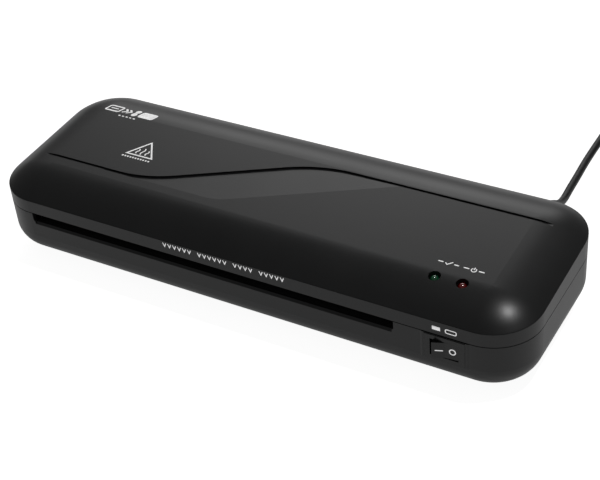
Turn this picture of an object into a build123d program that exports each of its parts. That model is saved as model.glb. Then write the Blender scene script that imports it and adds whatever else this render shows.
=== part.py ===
from build123d import *
import math
import os

# Pouch laminator, in millimetres. X runs along the length, +Y to the back, +Z up.
# The origin is on the table, under the middle of the housing.

# ---------------------------------------------------------------- driving dimensions
# Housing
body_length = 335.0
body_depth = 113.0
corner_radius = 27.5
foot_height = 3.0
lower_round = 16.0
parting_height = 35.1
parting_gap = 0.5
crease_height = 43.3      # front edge of the crown
crown_rise = 9.0
crown_tilt = 2.75         # degrees, the crown climbs towards the back
crease_ledge = 0.25
wall = 2.2
tongue_width = 1.0
tongue_height = 1.6

# Paper path
slot_left, slot_right = -138.0, 97.0
slot_bottom = 29.0
slot_corner = 2.0
slot_lip = 1.3
plate_gap = 4.4
sheet_height = 32.0
guide_end_gap = 1.5

# Decoration of the cover
groove_width = 1.8
groove_depth = 1.1
groove_front_y, groove_back_y = -22.1, 27.4
groove_bend_x = -79.0
groove_slope = 28.9       # degrees
groove_bend_radii = (70.0, 80.0)
facet_shift = 52.0
facet_depth = 1.0
facet_start_x = -106.0
facet_front_y = -23.3
facet_bend_radius = 30.0

# Indicator lamps
lamp_x = (110.2, 125.6)
lamp_y = -34.2
lamp_hole_radius = 3.3
lamp_radius = 2.4
lamp_top = 52.8

# Rocker switch
switch_x, switch_z = 125.7, 26.7
bezel_width, bezel_height, bezel_thickness = 22.6, 15.8, 0.35
rocker_opening_width, rocker_opening_height = 15.9, 10.6
switch_body_width, switch_body_height, switch_body_depth = 18.4, 12.6, 18.0
pad_width, pad_height, pad_rise, pad_slope = 27.0, 16.6, 0.35, 1.0
rocker_gap = 0.3
rocker_half_width = 7.0
rocker_tilt = 12.0
rocker_pivot_depth = 2.5  # behind the front of the housing
pivot_pin_radius = 1.0

# Rollers
roller_y = 22.0
lower_roller_z = 23.0
roller_pitch = 18.0       # between the two roller axes
sleeve_radius = 8.85
shaft_radius = 4.0
sleeve_left, sleeve_right = -136.5, 95.5
shaft_left, shaft_right = -150.0, 113.5
running_clearance = 0.05
lift_travel = 0.8

# Gears: module, width and tooth counts
module = 1.0
gear_left, gear_right = 106.0, 112.0
roller_teeth, idler_teeth, pinion_teeth = 18, 16, 12
tooth_play = 0.16
idler_y, idler_z = 5.8, 17.8
idler_pin_radius = 2.0
pinion_bearing = 136.5    # degrees, from the idler to the motor

# End frames
frame_thickness = 1.2
left_frame_face, right_frame_face = -145.4, 103.4   # the faces towards the rollers
frame_front, frame_back = -42.0, 38.0
frame_bottom, frame_top, frame_low_top = 7.0, 52.0, 46.0
frame_foot = 10.0
frame_screw_inset = 5.2   # from the frame's inner face to its screws
plate_tab_y = (-24.0, -8.0)
bush_radius = 6.0
block_width, block_height = 12.0, 12.8
block_side_gap = 0.15
spring_y, spring_low_z = 34.0, 15.0
spring_wire, spring_radius = 0.3, 1.55
peg_radius = 1.2

# Heater plates
heater_front, heater_back = -40.0, 8.0
plate_thickness, element_thickness = 3.0, 2.0

# Motor
motor_radius, motor_length = 21.0, 18.0
bracket_face = 114.8
bracket_thickness = 1.2
motor_ear_reach = 24.5
standoffs = ((-23.0, 11.5), (-23.0, 43.5), (16.5, 8.6))

# Control board
board_x = (105.2, 141.0)
board_y = (-47.0, -27.5)
board_bottom, board_thickness = 42.0, 1.6

# Fasteners and feet
screw_radius, screw_head_radius, screw_head_height = 1.5, 3.0, 1.8
boss_radius = 4.0
cover_screw_seat, cover_screw_tip = 10.0, 45.0
frame_screw_tip = 4.2
cover_screws_at = ((-154.0, -36.0), (-154.0, 36.0), (154.0, -36.0), (154.0, 36.0))
frame_screw_y = (-28.0, 28.0)
feet_at = ((-132.0, -32.0), (-132.0, 32.0), (132.0, -32.0), (132.0, 32.0))
foot_radius, foot_stud = 7.0, 3.0

# Vents in the floor of the lower housing
vent_groups_x = (-60.0, 50.0)
vent_count, vent_pitch, vent_width = 9, 7.0, 2.5
vent_y = (-19.0, 13.0)

# Mains cord
cord_diameter = 4.8
cord_exit_x, cord_exit_z = 124.0, 21.0
relief_length, relief_neck, relief_flange = 20.0, 4.0, 4.8
relief_base, relief_tip = 5.0, 3.3
lead_start = 40.0
clamp_y, clamp_width, clamp_depth = 46.5, 19.0, 5.0
clamp_height, clamp_spread, clamp_screw_depth = 4.5, 6.5, 8.0
saddle_reach, saddle_depth = 10.0, 7.0
lane_x = 119.7            # the cord's straight lane into the coil
coil_y = 226.0
coil_outer_turn, coil_inner_turn = 33.8, 18.4
turn_step = 4.9
coil_clear = 0.1          # the wound part's outer shape starts this far above the table
plug_y = 189.0
plug_half_height = 6.5

# ---------------------------------------------------------------- derived values
half_length, half_depth = body_length / 2, body_depth / 2
lower_top = parting_height - parting_gap / 2
cover_bottom = parting_height + parting_gap / 2
upper_roller_z = lower_roller_z + roller_pitch
plate_low = sheet_height - plate_gap / 2
plate_high = sheet_height + plate_gap / 2
cord_radius = cord_diameter / 2
coil_x = lane_x + coil_outer_turn
clamp_screw_x = (cord_exit_x - clamp_spread, cord_exit_x + clamp_spread)
clamp_screw_tip = cord_exit_z - clamp_screw_depth
inner_front = -half_depth + wall
inner_back = half_depth - wall
rocker_pivot_y = -half_depth + rocker_pivot_depth
idler_distance = module * (idler_teeth + pinion_teeth) / 2
pinion_y = idler_y + idler_distance * math.cos(math.radians(pinion_bearing))
pinion_z = idler_z + idler_distance * math.sin(math.radians(pinion_bearing))
bracket_outer = bracket_face + bracket_thickness
board_top = board_bottom + board_thickness


# ---------------------------------------------------------------- helpers
def block(x, y, z):
    """Box between three (low, high) pairs."""
    centre = Pos((x[0] + x[1]) / 2, (y[0] + y[1]) / 2, (z[0] + z[1]) / 2)
    return centre * Box(x[1] - x[0], y[1] - y[0], z[1] - z[0])


def rod(axis, at, radius, span):
    """Cylinder along axis "X", "Y" or "Z"; at holds the other two coordinates in order."""
    middle, length = (span[0] + span[1]) / 2, span[1] - span[0]
    if axis == "X":
        return Pos(middle, at[0], at[1]) * Rot(0, 90, 0) * Cylinder(radius, length)
    if axis == "Y":
        return Pos(at[0], middle, at[1]) * Rot(90, 0, 0) * Cylinder(radius, length)
    return Pos(at[0], at[1], middle) * Cylinder(radius, length)


def ring(axis, at, inner, outer, span):
    """Tube along an axis."""
    return rod(axis, at, outer, span) - rod(axis, at, inner, (span[0] - 1, span[1] + 1))


def prism_x(points, span):
    """Polygon of (y, z) points drawn out along X."""
    face = make_face(Polyline(*points, close=True))
    return extrude(Plane.YZ.offset(span[0]) * face, span[1] - span[0])


def prism_z(points, span):
    """Polygon of (x, y) points drawn out along Z."""
    face = make_face(Polyline(*points, close=True))
    return extrude(Plane.XY.offset(span[0]) * face, span[1] - span[0])


def screw(axis, at, head, tip):
    """Pan head screw; the head stands behind `head` and the shank runs from head to tip."""
    direction = 1 if tip > head else -1
    cap = sorted((head - direction * screw_head_height, head))
    shank = sorted((head, tip))
    return rod(axis, at, screw_head_radius, cap) + rod(axis, at, screw_radius, shank)


def group(solids):
    """Several separate solids in one node."""
    return Compound(children=list(solids))


# ---------------------------------------------------------------- housing forms
def plan_block(inset, low, high):
    """Upright block with the plan outline of the housing, inset all round."""
    outline = RectangleRounded(
        body_length - 2 * inset, body_depth - 2 * inset, corner_radius - inset
    )
    return extrude(Plane.XY.offset(low) * outline, high - low)


def tub_form(inset, high):
    """Lower housing as a solid: rounded plan with a large round along its lower edge."""
    form = plan_block(inset, foot_height + inset, high)
    return fillet(form.faces().sort_by(Axis.Z)[0].edges(), lower_round - inset)


def on_crown(shape):
    """Move a shape from the flat crease plane to the tilted one, about its front edge."""
    centred = Pos(0, half_depth / math.cos(math.radians(crown_tilt)), 0) * shape
    return Pos(0, -half_depth, crease_height) * Rot(crown_tilt, 0, 0) * centred


def crown_form(inset, skirt, ledge):
    """Crown as a solid: one arc swept round the plan, turned at the corners."""
    core_length = body_length - 2 * corner_radius
    core_depth = body_depth / math.cos(math.radians(crown_tilt)) - 2 * corner_radius
    arc_radius = (corner_radius**2 + crown_rise**2) / (2 * crown_rise)
    radius = arc_radius - inset
    rim = corner_radius - ledge

    def height(reach):
        return crown_rise - arc_radius + math.sqrt(radius**2 - reach**2)

    sides = Polyline((0, height(0)), (0, -skirt), (rim, -skirt), (rim, height(rim)))
    arc = ThreePointArc((rim, height(rim)), (rim / 2, height(rim / 2)), (0, height(0)))
    section = make_face(Plane.XZ * (sides + arc))
    corner = revolve(section, Axis.Z, 90)
    end = extrude(section, core_depth, dir=(0, -1, 0))
    side = extrude(Rot(0, 0, 90) * section, core_length, dir=(-1, 0, 0))
    at = (core_length / 2, core_depth / 2)
    half = Pos(*at) * (corner + end + side)
    half += Pos(-at[0], at[1]) * Rot(0, 0, 90) * corner
    core = block((-at[0], at[0]), (-at[1], at[1]), (-skirt, height(0)))
    return on_crown(half + Rot(0, 0, 180) * half + core)


def cover_form():
    """Outside of the top cover as a solid."""
    below_crease = on_crown(block((-300, 300), (-200, 200), (-60, 0)))
    band = plan_block(0, cover_bottom, crease_height + 30) & below_crease
    return band + crown_form(0, 3, crease_ledge)


def slot_cut(y):
    """Cutter for a paper slot: open to the top, with rounded lower corners."""
    cutter = block((slot_left, slot_right), y, (slot_bottom, parting_height + 5))
    lower_edges = cutter.edges().filter_by(Axis.Y).group_by(Axis.Z)[0]
    return fillet(lower_edges, slot_corner)


# ---------------------------------------------------------------- casings
def lower_housing():
    shell = tub_form(0, lower_top) - tub_form(wall, lower_top + 5)
    tongue = plan_block(wall - tongue_width, lower_top - 1, parting_height + tongue_height)
    tongue -= plan_block(wall, lower_top - 2, parting_height + tongue_height + 1)
    shell += tongue

    # screw towers, frame bosses and cord saddle
    form = tub_form(0, lower_top)
    for x, y in cover_screws_at:
        shell += rod("Z", (x, y), boss_radius, (foot_height, lower_top)) & form
    for x, y in frame_screws_at():
        shell += rod("Z", (x, y), boss_radius, (foot_height, frame_bottom))
    saddle = block(
        (cord_exit_x - saddle_reach, cord_exit_x + saddle_reach),
        (clamp_y - saddle_depth / 2, clamp_y + saddle_depth / 2),
        (foot_height, cord_exit_z),
    )
    shell += saddle & form
    shell -= rod("Y", (cord_exit_x, cord_exit_z), cord_radius, (lead_start, inner_back))
    for x in clamp_screw_x:
        shell -= rod("Z", (x, clamp_y), screw_radius, (clamp_screw_tip - 1, cord_exit_z + 1))

    # raised pad round the switch, with sloped sides
    left, right = switch_x - pad_width / 2, switch_x + pad_width / 2
    front = -half_depth - pad_rise
    pad = prism_z(
        (
            (left, inner_front),
            (left, -half_depth),
            (left + pad_slope, front),
            (right - pad_slope, front),
            (right, -half_depth),
            (right, inner_front),
        ),
        (lower_top - pad_height, lower_top),
    )
    shell += pad
    shell -= block(
        (switch_x - switch_body_width / 2, switch_x + switch_body_width / 2),
        (-half_depth - 5, inner_front + 5),
        (switch_z - switch_body_height / 2, switch_z + switch_body_height / 2),
    )

    # paper slots; the front one has a sloped lip
    shell -= slot_cut((-half_depth - 5, inner_front + 3))
    shell -= slot_cut((inner_back - 3, half_depth + 5))
    reach = 1.5
    lip = (
        (-half_depth - reach, slot_bottom - slot_lip - reach * 1.1),
        (-half_depth + 1.2, slot_bottom),
        (-half_depth + 1.2, slot_bottom + 1),
        (-half_depth - reach, slot_bottom + 1),
    )
    shell -= prism_x(lip, (slot_left + 1, slot_right - 1))

    # holes: cover screws from below, frame screws, cord, feet, vents
    for x, y in cover_screws_at:
        shell -= rod("Z", (x, y), screw_head_radius + 0.2, (foot_height - 1, cover_screw_seat))
        shell -= rod("Z", (x, y), screw_radius + 0.2, (5, lower_top + 5))
    for x, y in frame_screws_at():
        shell -= rod("Z", (x, y), screw_radius, (frame_screw_tip - 0.4, frame_bottom + 1))
    shell -= rod("Y", (cord_exit_x, cord_exit_z), relief_neck, (inner_back - 1, half_depth + 1))
    for x, y in feet_at:
        shell -= rod("Z", (x, y), foot_stud, (foot_height - 1, foot_height + wall + 1))
    for middle in vent_groups_x:
        for k in range(vent_count):
            x = middle + (k - (vent_count - 1) / 2) * vent_pitch
            shell -= block((x - vent_width / 2, x + vent_width / 2), vent_y,
                           (foot_height - 1, foot_height + wall + 1))
    return shell


def frame_screws_at():
    """The four screws that hold the end frames' feet."""
    sides = (left_frame_face + frame_screw_inset, right_frame_face - frame_screw_inset)
    return tuple((x, y) for x in sides for y in frame_screw_y)


def groove_bends():
    """The corners of the groove's middle line, on the crown's flat top."""
    rise = groove_back_y - groove_front_y
    run = rise / math.tan(math.radians(groove_slope))
    return (groove_bend_x, groove_front_y), (groove_bend_x + run, groove_back_y)


def groove_cut():
    """Cutter for the S-shaped groove; its flat floor runs out on the crown at both ends."""
    first, second = groove_bends()
    line = FilletPolyline(
        (-half_length, groove_front_y), first, second, (half_length, groove_back_y),
        radius=list(groove_bend_radii),
    )
    tall = groove_depth + 4
    path = Pos(0, 0, crown_rise - groove_depth + tall / 2) * line
    start = Plane(origin=path @ 0, x_dir=(0, 1, 0), z_dir=(1, 0, 0))
    return on_crown(sweep(start * Rectangle(groove_width, tall), path=path))


def facet_cut():
    """Cutter for the shallow sloped facet in front of the groove's slanting stretch."""
    first, second = groove_bends()
    slope = math.radians(groove_slope)
    run = (first[1] - facet_front_y) / math.tan(slope)
    low_bend = (first[0] + facet_shift - run, facet_front_y)
    high_end = (second[0] + facet_shift, groove_back_y)
    edge = FilletPolyline(
        (facet_start_x, facet_front_y), low_bend, high_end, radius=facet_bend_radius
    )
    beside_groove = FilletPolyline(
        high_end, second, first, (facet_start_x, first[1]),
        radius=list(reversed(groove_bend_radii)),
    )
    start = Line((facet_start_x, first[1]), (facet_start_x, facet_front_y))
    region = extrude(Pos(0, 0, crown_rise - 3) * make_face(edge + beside_groove + start), 6)
    fall = math.atan(facet_depth / (facet_shift * math.sin(slope)))
    along = (math.cos(slope), math.sin(slope), 0)
    normal = (-math.sin(slope) * math.sin(fall), math.cos(slope) * math.sin(fall),
              math.cos(fall))
    floor = Plane(origin=(*high_end, crown_rise), x_dir=along, z_dir=normal)
    return on_crown(region & (floor * block((-300, 300), (-300, 300), (0, 20))))


def top_cover():
    form = cover_form()
    cavity = plan_block(wall, cover_bottom - 1, crease_height + 30)
    cavity &= crown_form(wall, 20, 0)
    shell = form - cavity
    for x, y in cover_screws_at:
        shell += rod("Z", (x, y), 3.6, (lower_top + 0.3, crease_height + 30)) & form
    posts = rod("Z", (0, 0), 2.6, (board_top, crease_height + 30))
    for x, y in board_posts():
        shell += (Pos(x, y, 0) * posts) & form
    rebate = plan_block(wall - tongue_width - 0.1, cover_bottom - 1,
                        parting_height + tongue_height + 0.2)
    rebate -= plan_block(wall + 0.1, cover_bottom - 2, parting_height + 10)
    shell -= rebate
    for x, y in cover_screws_at:
        shell -= rod("Z", (x, y), screw_radius, (lower_top - 1, cover_screw_tip + 1.5))
    for x, y in board_posts():
        shell -= rod("Z", (x, y), 1.1, (board_top - 1, board_top + 3))
    for x in lamp_x:
        shell -= rod("Z", (x, lamp_y), lamp_hole_radius, (board_top + 2, 70))
    shell -= facet_cut()
    shell -= groove_cut()
    return shell


def board_posts():
    """The two screw posts of the control board, at opposite corners."""
    return ((board_x[0] + 3.5, board_y[0] + 3.5), (board_x[1] - 3.5, board_y[1] - 3.5))


def rubber_foot():
    foot = rod("Z", (0, 0), foot_radius, (0, foot_height))
    foot = chamfer(foot.faces().sort_by(Axis.Z)[0].edges(), 0.8)
    return foot + rod("Z", (0, 0), foot_stud, (foot_height, foot_height + wall))


# ---------------------------------------------------------------- frames and heaters
def end_frame(face, outward):
    """Steel end plate with a foot, a bush hole, a slot for the bearing block and tab slots."""
    x = sorted((face, face + outward * frame_thickness))
    outline = (
        (frame_front, frame_bottom), (frame_back, frame_bottom), (frame_back, frame_top - 4),
        (frame_back - 4, frame_top), (roller_y - 11, frame_top),
        (roller_y - 16, frame_low_top), (frame_front + 6, frame_low_top),
        (frame_front, frame_low_top - 6),
    )
    plate = prism_x(outline, x)
    foot_x = sorted((face - outward * frame_foot, face + outward * frame_thickness))
    plate += block(foot_x, (frame_front, frame_back),
                   (frame_bottom, frame_bottom + frame_thickness))
    plate -= rod("X", (roller_y, lower_roller_z), bush_radius, (x[0] - 1, x[1] + 1))
    half = block_width / 2 + block_side_gap
    low, high = upper_roller_z - block_height / 2, upper_roller_z + block_height / 2
    plate -= block((x[0] - 1, x[1] + 1), (roller_y - half, roller_y + half),
                   (low - 0.3, high + lift_travel + 0.4))
    for z in (plate_low - plate_thickness, plate_high):
        plate -= block((x[0] - 1, x[1] + 1), plate_tab_y, (z, z + plate_thickness))
    screw_x = face - outward * frame_screw_inset
    for y in frame_screw_y:
        plate -= rod("Z", (screw_x, y), screw_radius, (frame_bottom - 1, frame_bottom + 3))
    plate -= rod("X", (spring_y, spring_low_z), peg_radius, (x[0] - 1, x[1] + 1))
    if outward > 0:
        for y, z in standoffs:
            plate -= rod("X", (y, z), screw_radius, (x[0] - 1, x[1] + 1))
        plate -= rod("X", (idler_y, idler_z), idler_pin_radius, (x[0] - 1, x[1] + 1))
    return plate


def heater_plate(low):
    """Aluminium plate between the end frames, with a tab through each of them."""
    z = (low, low + plate_thickness)
    plate = block((left_frame_face, right_frame_face), (heater_front, heater_back), z)
    reach = frame_thickness + 0.8
    plate += block((left_frame_face - reach, right_frame_face + reach), plate_tab_y, z)
    return plate


def heating_element(low):
    """Flat element pressed against the back of a heater plate."""
    return block((-130, 88), (-33, 1), (low, low + element_thickness))


def paper_guide(front, side):
    """Guide that funnels the sheet; side is -1 below the path and 1 above it."""
    nip = plate_low if side < 0 else plate_high
    mouth = slot_bottom if side < 0 else cover_bottom + 0.1
    thick = 1.6 * side
    if front:
        y = (inner_front, inner_front + 8, heater_front)
    else:
        y = (inner_back, inner_back - 8, roller_y + sleeve_radius + 1.6)
    outline = ((y[0], mouth), (y[1], nip), (y[2], nip), (y[2], nip + thick),
               (y[1], nip + thick), (y[0], mouth + thick))
    x = (slot_left + guide_end_gap, slot_right - guide_end_gap)
    return prism_x(outline, x)


# ---------------------------------------------------------------- rollers and gears
def roller_shaft(z):
    return rod("X", (roller_y, z), shaft_radius, (shaft_left, shaft_right))


def roller_sleeve(z):
    return ring("X", (roller_y, z), shaft_radius, sleeve_radius, (sleeve_left, sleeve_right))


def shaft_clips(z):
    clips = ((shaft_left + 0.6, shaft_left + 1.4), (gear_right, gear_right + 0.8))
    return group(ring("X", (roller_y, z), shaft_radius, 6.0, span) for span in clips)


def roller_bushes():
    left = ring("X", (roller_y, lower_roller_z), shaft_radius + running_clearance, bush_radius,
                (left_frame_face - frame_thickness - 1.0, left_frame_face + 1.2))
    left += ring("X", (roller_y, lower_roller_z), shaft_radius + running_clearance, 8.0,
                 (left_frame_face, left_frame_face + 1.2))
    right = ring("X", (roller_y, lower_roller_z), shaft_radius + running_clearance, bush_radius,
                 (right_frame_face - 1.2, right_frame_face + frame_thickness + 1.0))
    right += ring("X", (roller_y, lower_roller_z), shaft_radius + running_clearance, 8.0,
                  (right_frame_face - 1.2, right_frame_face))
    return group((left, right))


def bearing_block(face, outward):
    """Block that slides in the end frame, with an inner flange, an arm and a spring peg."""
    z = (upper_roller_z - block_height / 2, upper_roller_z + block_height / 2)
    outer = face + outward * (frame_thickness + 1.0)
    flange = face - outward * 0.3
    inner = face - outward * 1.8
    half = block_width / 2
    body = block(sorted((inner, outer)), (roller_y - half, roller_y + half), z)
    body += block(sorted((inner, flange)), (roller_y - half - 2, roller_y + half + 2), z)
    body += block(sorted((inner, flange)), (roller_y, spring_y + 2.5),
                  (upper_roller_z - 3, upper_roller_z + 3))
    body += rod("X", (spring_y, upper_roller_z), peg_radius,
                sorted((inner, inner - outward * 3.4)))
    return body - rod("X", (roller_y, upper_roller_z), shaft_radius + running_clearance,
                      sorted((inner - outward * 5, outer + outward * 5)))


def spring_x(face, outward):
    """Middle plane of the tension spring beside an end frame."""
    return face - outward * 3.9


def tension_spring(face, outward):
    """Close-wound tension spring with a hook round the peg at each end."""
    hook_rise = 3.0
    hook_overlap, hook_shift = 0.5, 0.15   # the stem runs through the coil's end turn
    x = spring_x(face, outward)
    low, high = spring_low_z + hook_rise, upper_roller_z - hook_rise
    turns = 13
    coil = Helix(pitch=(high - low) / turns, height=high - low, radius=spring_radius)
    start = Plane(origin=coil @ 0, z_dir=coil % 0)
    spring = sweep(start * Circle(spring_wire), path=coil, is_frenet=True)
    # the helix starts and ends on local +X, which is turned to +Y here
    spring = Pos(x, spring_y, low) * Rot(0, 0, 90) * spring
    for end, centre in ((low, spring_low_z), (high, upper_roller_z)):
        up = 1 if centre > end else -1
        side = spring_y + spring_radius
        stem = Line((side, end - up * hook_overlap), (side, centre))
        loop = CenterArc((spring_y, centre), spring_radius, 0, up * 300)
        path = Plane.YZ.offset(x - up * hook_shift) * Wire([stem.edge(), loop.edge()])
        spring += sweep(Plane(origin=path @ 0, z_dir=path % 0) * Circle(spring_wire), path=path)
    return spring


def involute_point(base, radius, lean):
    """Point on an involute flank that leans by `lean` radians from the tooth's middle."""
    pressure = math.acos(min(1.0, base / radius))
    angle = lean - (math.tan(pressure) - pressure)
    return radius, angle


def gear(teeth, at, phase, bore):
    """Spur gear across the gear width; phase is the angle of one tooth, in degrees from +Y."""
    pitch_radius = module * teeth / 2
    base = pitch_radius * math.cos(math.radians(20))
    tip, root = pitch_radius + module, pitch_radius - 1.25 * module
    half_tooth = (math.pi * module / 2 - tooth_play) / (2 * pitch_radius)
    lean = half_tooth + math.tan(math.radians(20)) - math.radians(20)
    start = max(base, root + 0.1)

    def place(radius, angle):
        return radius * math.cos(angle), radius * math.sin(angle)

    edges = []
    for k in range(teeth):
        middle = math.radians(phase) + 2 * math.pi * k / teeth
        flank = [involute_point(base, r, lean) for r in (start, (start + tip) / 2, tip)]
        rise = [place(r, middle - a) for r, a in flank]
        fall = [place(r, middle + a) for r, a in reversed(flank)]
        foot = place(root, middle - lean)
        heel = place(root, middle + lean)
        following = place(root, middle + 2 * math.pi / teeth - lean)
        edges += [Line(foot, rise[0]), ThreePointArc(*rise), Line(rise[2], fall[0]),
                  ThreePointArc(*fall), Line(fall[2], heel), Line(heel, following)]
    outline = make_face(Wire([e.edge() for e in edges]))
    plane = Plane.YZ.offset(gear_left) * Pos(at[0], at[1])
    wheel = extrude(plane * outline, gear_right - gear_left)
    return wheel - rod("X", at, bore, (gear_left - 1, gear_right + 1))


def meshed_phase(at, phase, teeth, other_at, other_teeth):
    """Phase that puts the second gear in mesh with the first along their line of centres."""
    line = math.degrees(math.atan2(other_at[1] - at[1], other_at[0] - at[0]))
    pitch, other_pitch = 360 / teeth, 360 / other_teeth
    return line + 180 + other_pitch * (0.5 - (phase - line) / pitch)


# ---------------------------------------------------------------- drive
def motor_bracket():
    y = (pinion_y - motor_ear_reach - 4, pinion_y + motor_ear_reach + 3.5)
    plate = block((bracket_face, bracket_outer), y, (5.6, 47.5))
    span = (bracket_face - 1, bracket_outer + 1)
    plate -= block(span, (y[0] - 1, board_y[1] + 0.3), (pinion_z + 6, 50))
    for at in standoffs:
        plate -= rod("X", at, screw_radius, span)
    for side in (-1, 1):
        plate -= rod("X", (pinion_y + side * motor_ear_reach, pinion_z), screw_radius, span)
    plate -= rod("X", (idler_y, idler_z), idler_pin_radius, span)
    return plate - rod("X", (pinion_y, pinion_z), 5.6, span)


def motor():
    """Synchronous gear motor: can, rim, ears, output boss and a terminal block."""
    at = (pinion_y, pinion_z)
    body = rod("X", at, motor_radius, (bracket_outer, bracket_outer + motor_length))
    body = chamfer(body.faces().sort_by(Axis.X)[-1].edges(), 1.0)
    body += rod("X", at, 5.5, (bracket_face, bracket_outer))
    reach = motor_ear_reach + 3
    body += block((bracket_outer, bracket_outer + 1.2), (at[0] - reach, at[0] + reach),
                  (at[1] - 3.5, at[1] + 3.5))
    for side in (-1, 1):
        body -= rod("X", (at[0] + side * motor_ear_reach, at[1]), screw_radius,
                    (bracket_outer - 1, bracket_outer + 3))
    end = bracket_outer + motor_length
    body += block((end, end + 3.5), (at[0] - 6, at[0] + 6), (at[1] - 15, at[1] - 8))
    return body - rod("X", at, 3.0 + running_clearance, (bracket_face - 1, end - 9))


def motor_pinion(phase):
    """Pinion and the motor's output shaft in one piece."""
    wheel = gear(pinion_teeth, (pinion_y, pinion_z), phase, 2.5)
    shaft = rod("X", (pinion_y, pinion_z), 3.0, (gear_left - 0.5, bracket_outer + 7.5))
    return wheel + shaft


# ---------------------------------------------------------------- switch
def switch_body():
    """Bezel and box of the rocker switch, with blind holes for the rocker's pivot pins."""
    front = -half_depth - pad_rise
    half = (switch_body_width / 2, switch_body_height / 2)
    body = block((switch_x - half[0], switch_x + half[0]), (front, front + switch_body_depth),
                 (switch_z - half[1], switch_z + half[1]))
    bezel = block((switch_x - bezel_width / 2, switch_x + bezel_width / 2),
                  (front - bezel_thickness, front),
                  (switch_z - bezel_height / 2, switch_z + bezel_height / 2))
    outer_edges = bezel.faces().sort_by(Axis.Y)[0].edges()
    body += chamfer(outer_edges, 0.2)
    body -= block(
        (switch_x - rocker_opening_width / 2, switch_x + rocker_opening_width / 2),
        (front - 2, front + 10),
        (switch_z - rocker_opening_height / 2, switch_z + rocker_opening_height / 2),
    )
    reach = rocker_opening_height / 2 + 0.55
    return body - rod("Z", (switch_x, rocker_pivot_y), pivot_pin_radius + running_clearance,
                      (switch_z - reach, switch_z + reach))


def rocker():
    """Rocker with a shallow V face, at rest with its right side pressed in."""
    end, middle, back = -4.17, -3.1, 2.2
    half = rocker_half_width
    outline = ((-half, end), (0, middle), (half, end), (half - 0.4, -1.0), (2.6, back),
               (-2.6, back), (-half + 0.4, -1.0))
    tall = rocker_opening_height / 2 - rocker_gap
    key = prism_z(outline, (-tall, tall))
    key = Rot(0, 0, rocker_tilt) * key
    reach = rocker_opening_height / 2 + 0.5
    key += rod("Z", (0, 0), pivot_pin_radius, (-reach, reach))
    return Pos(switch_x, rocker_pivot_y, switch_z) * key


def switch_terminals():
    back = -half_depth - pad_rise + switch_body_depth
    return group(
        block((switch_x + x - 0.4, switch_x + x + 0.4), (back, back + 6.5),
              (switch_z - 2.4, switch_z + 2.4))
        for x in (-5.0, 5.0)
    )


# ---------------------------------------------------------------- electronics
def control_board():
    board = block(board_x, board_y, (board_bottom, board_top))
    for x, y in board_posts():
        board -= rod("Z", (x, y), screw_radius, (board_bottom - 1, board_top + 1))
    return board


def board_components():
    """Relay, capacitors, terminal strip and a small chip under the board."""
    z = board_bottom
    y = board_y[0]
    return group((
        block((118.5, 133.5), (y + 1, y + 11), (z - 7.5, z)),
        rod("Z", (114.0, y + 14.5), 3.2, (z - 7.0, z)),
        rod("Z", (122.0, y + 15.0), 2.5, (z - 6.0, z)),
        block((126.0, 134.5), (y + 13, y + 18), (z - 3.0, z)),
        block((106.0, 112.0), (y + 8.5, y + 18.5), (z - 5.0, z)),
    ))


def lamp(x):
    """Indicator lamp: domed lens, flange and body standing on the board."""
    straight = rod("Z", (x, lamp_y), lamp_radius, (board_top, lamp_top - lamp_radius))
    dome = Pos(x, lamp_y, lamp_top - lamp_radius) * Sphere(lamp_radius)
    flange = rod("Z", (x, lamp_y), lamp_radius + 0.4, (board_top, board_top + 0.9))
    return straight + dome + flange


def thermostat():
    """Bimetal thermostat clipped on the upper element, with two tabs."""
    low = plate_high + plate_thickness + element_thickness
    disc = rod("Z", (-20, -16), 7.0, (low, low + 4.5))
    disc += block((-34, -6), (-18, -14), (low, low + 0.8))
    return disc


def thermal_fuse():
    low = plate_high + plate_thickness + element_thickness
    body = rod("X", (-16, low + 2.0), 2.0, (18, 30))
    return body + rod("X", (-16, low + 2.0), 0.5, (12, 36))


def wire(points, radius, bend):
    """Round wire along straight runs with even bends."""
    path = FilletPolyline(*points, radius=bend)
    return sweep(Plane(origin=path @ 0, z_dir=path % 0) * Circle(radius), path=path)


def mains_wires():
    """Live and neutral from the clamped lead, under the motor, to the switch terminals."""
    back = -half_depth - pad_rise + switch_body_depth + 6.5
    wires = []
    for side in (-1, 1):
        x = switch_x + side * 5.0
        start_x = cord_exit_x + side * 1.1
        out = switch_x + 14.5 + side * 1.3
        wires.append(wire(
            ((start_x, lead_start, cord_exit_z), (start_x, 33, cord_exit_z), (out, 27, 14),
             (out, -28, 14), (x, back + 4, switch_z), (x, back, switch_z)),
            0.9, 3.0,
        ))
    return group(wires)


def motor_wires():
    """Two thin leads from the motor's terminal block up to the board."""
    start = bracket_outer + motor_length + 3.5
    wires = []
    for side in (-1, 1):
        y = pinion_y + side * 3
        wires.append(wire(
            ((start, y, pinion_z - 11.5), (start + 3.0, y, pinion_z - 11.5),
             (start + 3.2, y - 12, 33.8), (132 + side * 2, -32 + side, 34),
             (132 + side * 2, -32 + side, board_bottom - 3)),
            0.6, 1.6,
        ))
    return group(wires)


# ---------------------------------------------------------------- cord
def cord_path(points):
    """Straight runs joined by arcs as large as their two runs allow."""
    points = [Vector(*p) for p in points]
    radii = []
    for before, here, after in zip(points, points[1:], points[2:]):
        turn = math.radians((here - before).get_angle(after - here))
        shorter = min((here - before).length, (after - here).length)
        radii.append(0.45 * shorter / math.tan(turn / 2))
    print("cord arcs, mm:", [round(r) for r in radii])
    return FilletPolyline(*points, radius=radii)


def cord_tube(points):
    path = cord_path(points)
    tube = sweep(Plane(origin=path @ 0, z_dir=path % 0) * Circle(cord_radius), path=path)
    expected = math.pi * cord_radius**2 * path.length
    print(f"tube length {path.length:.1f} mm, volume ratio {tube.volume / expected:.4f}")
    return tube


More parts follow.
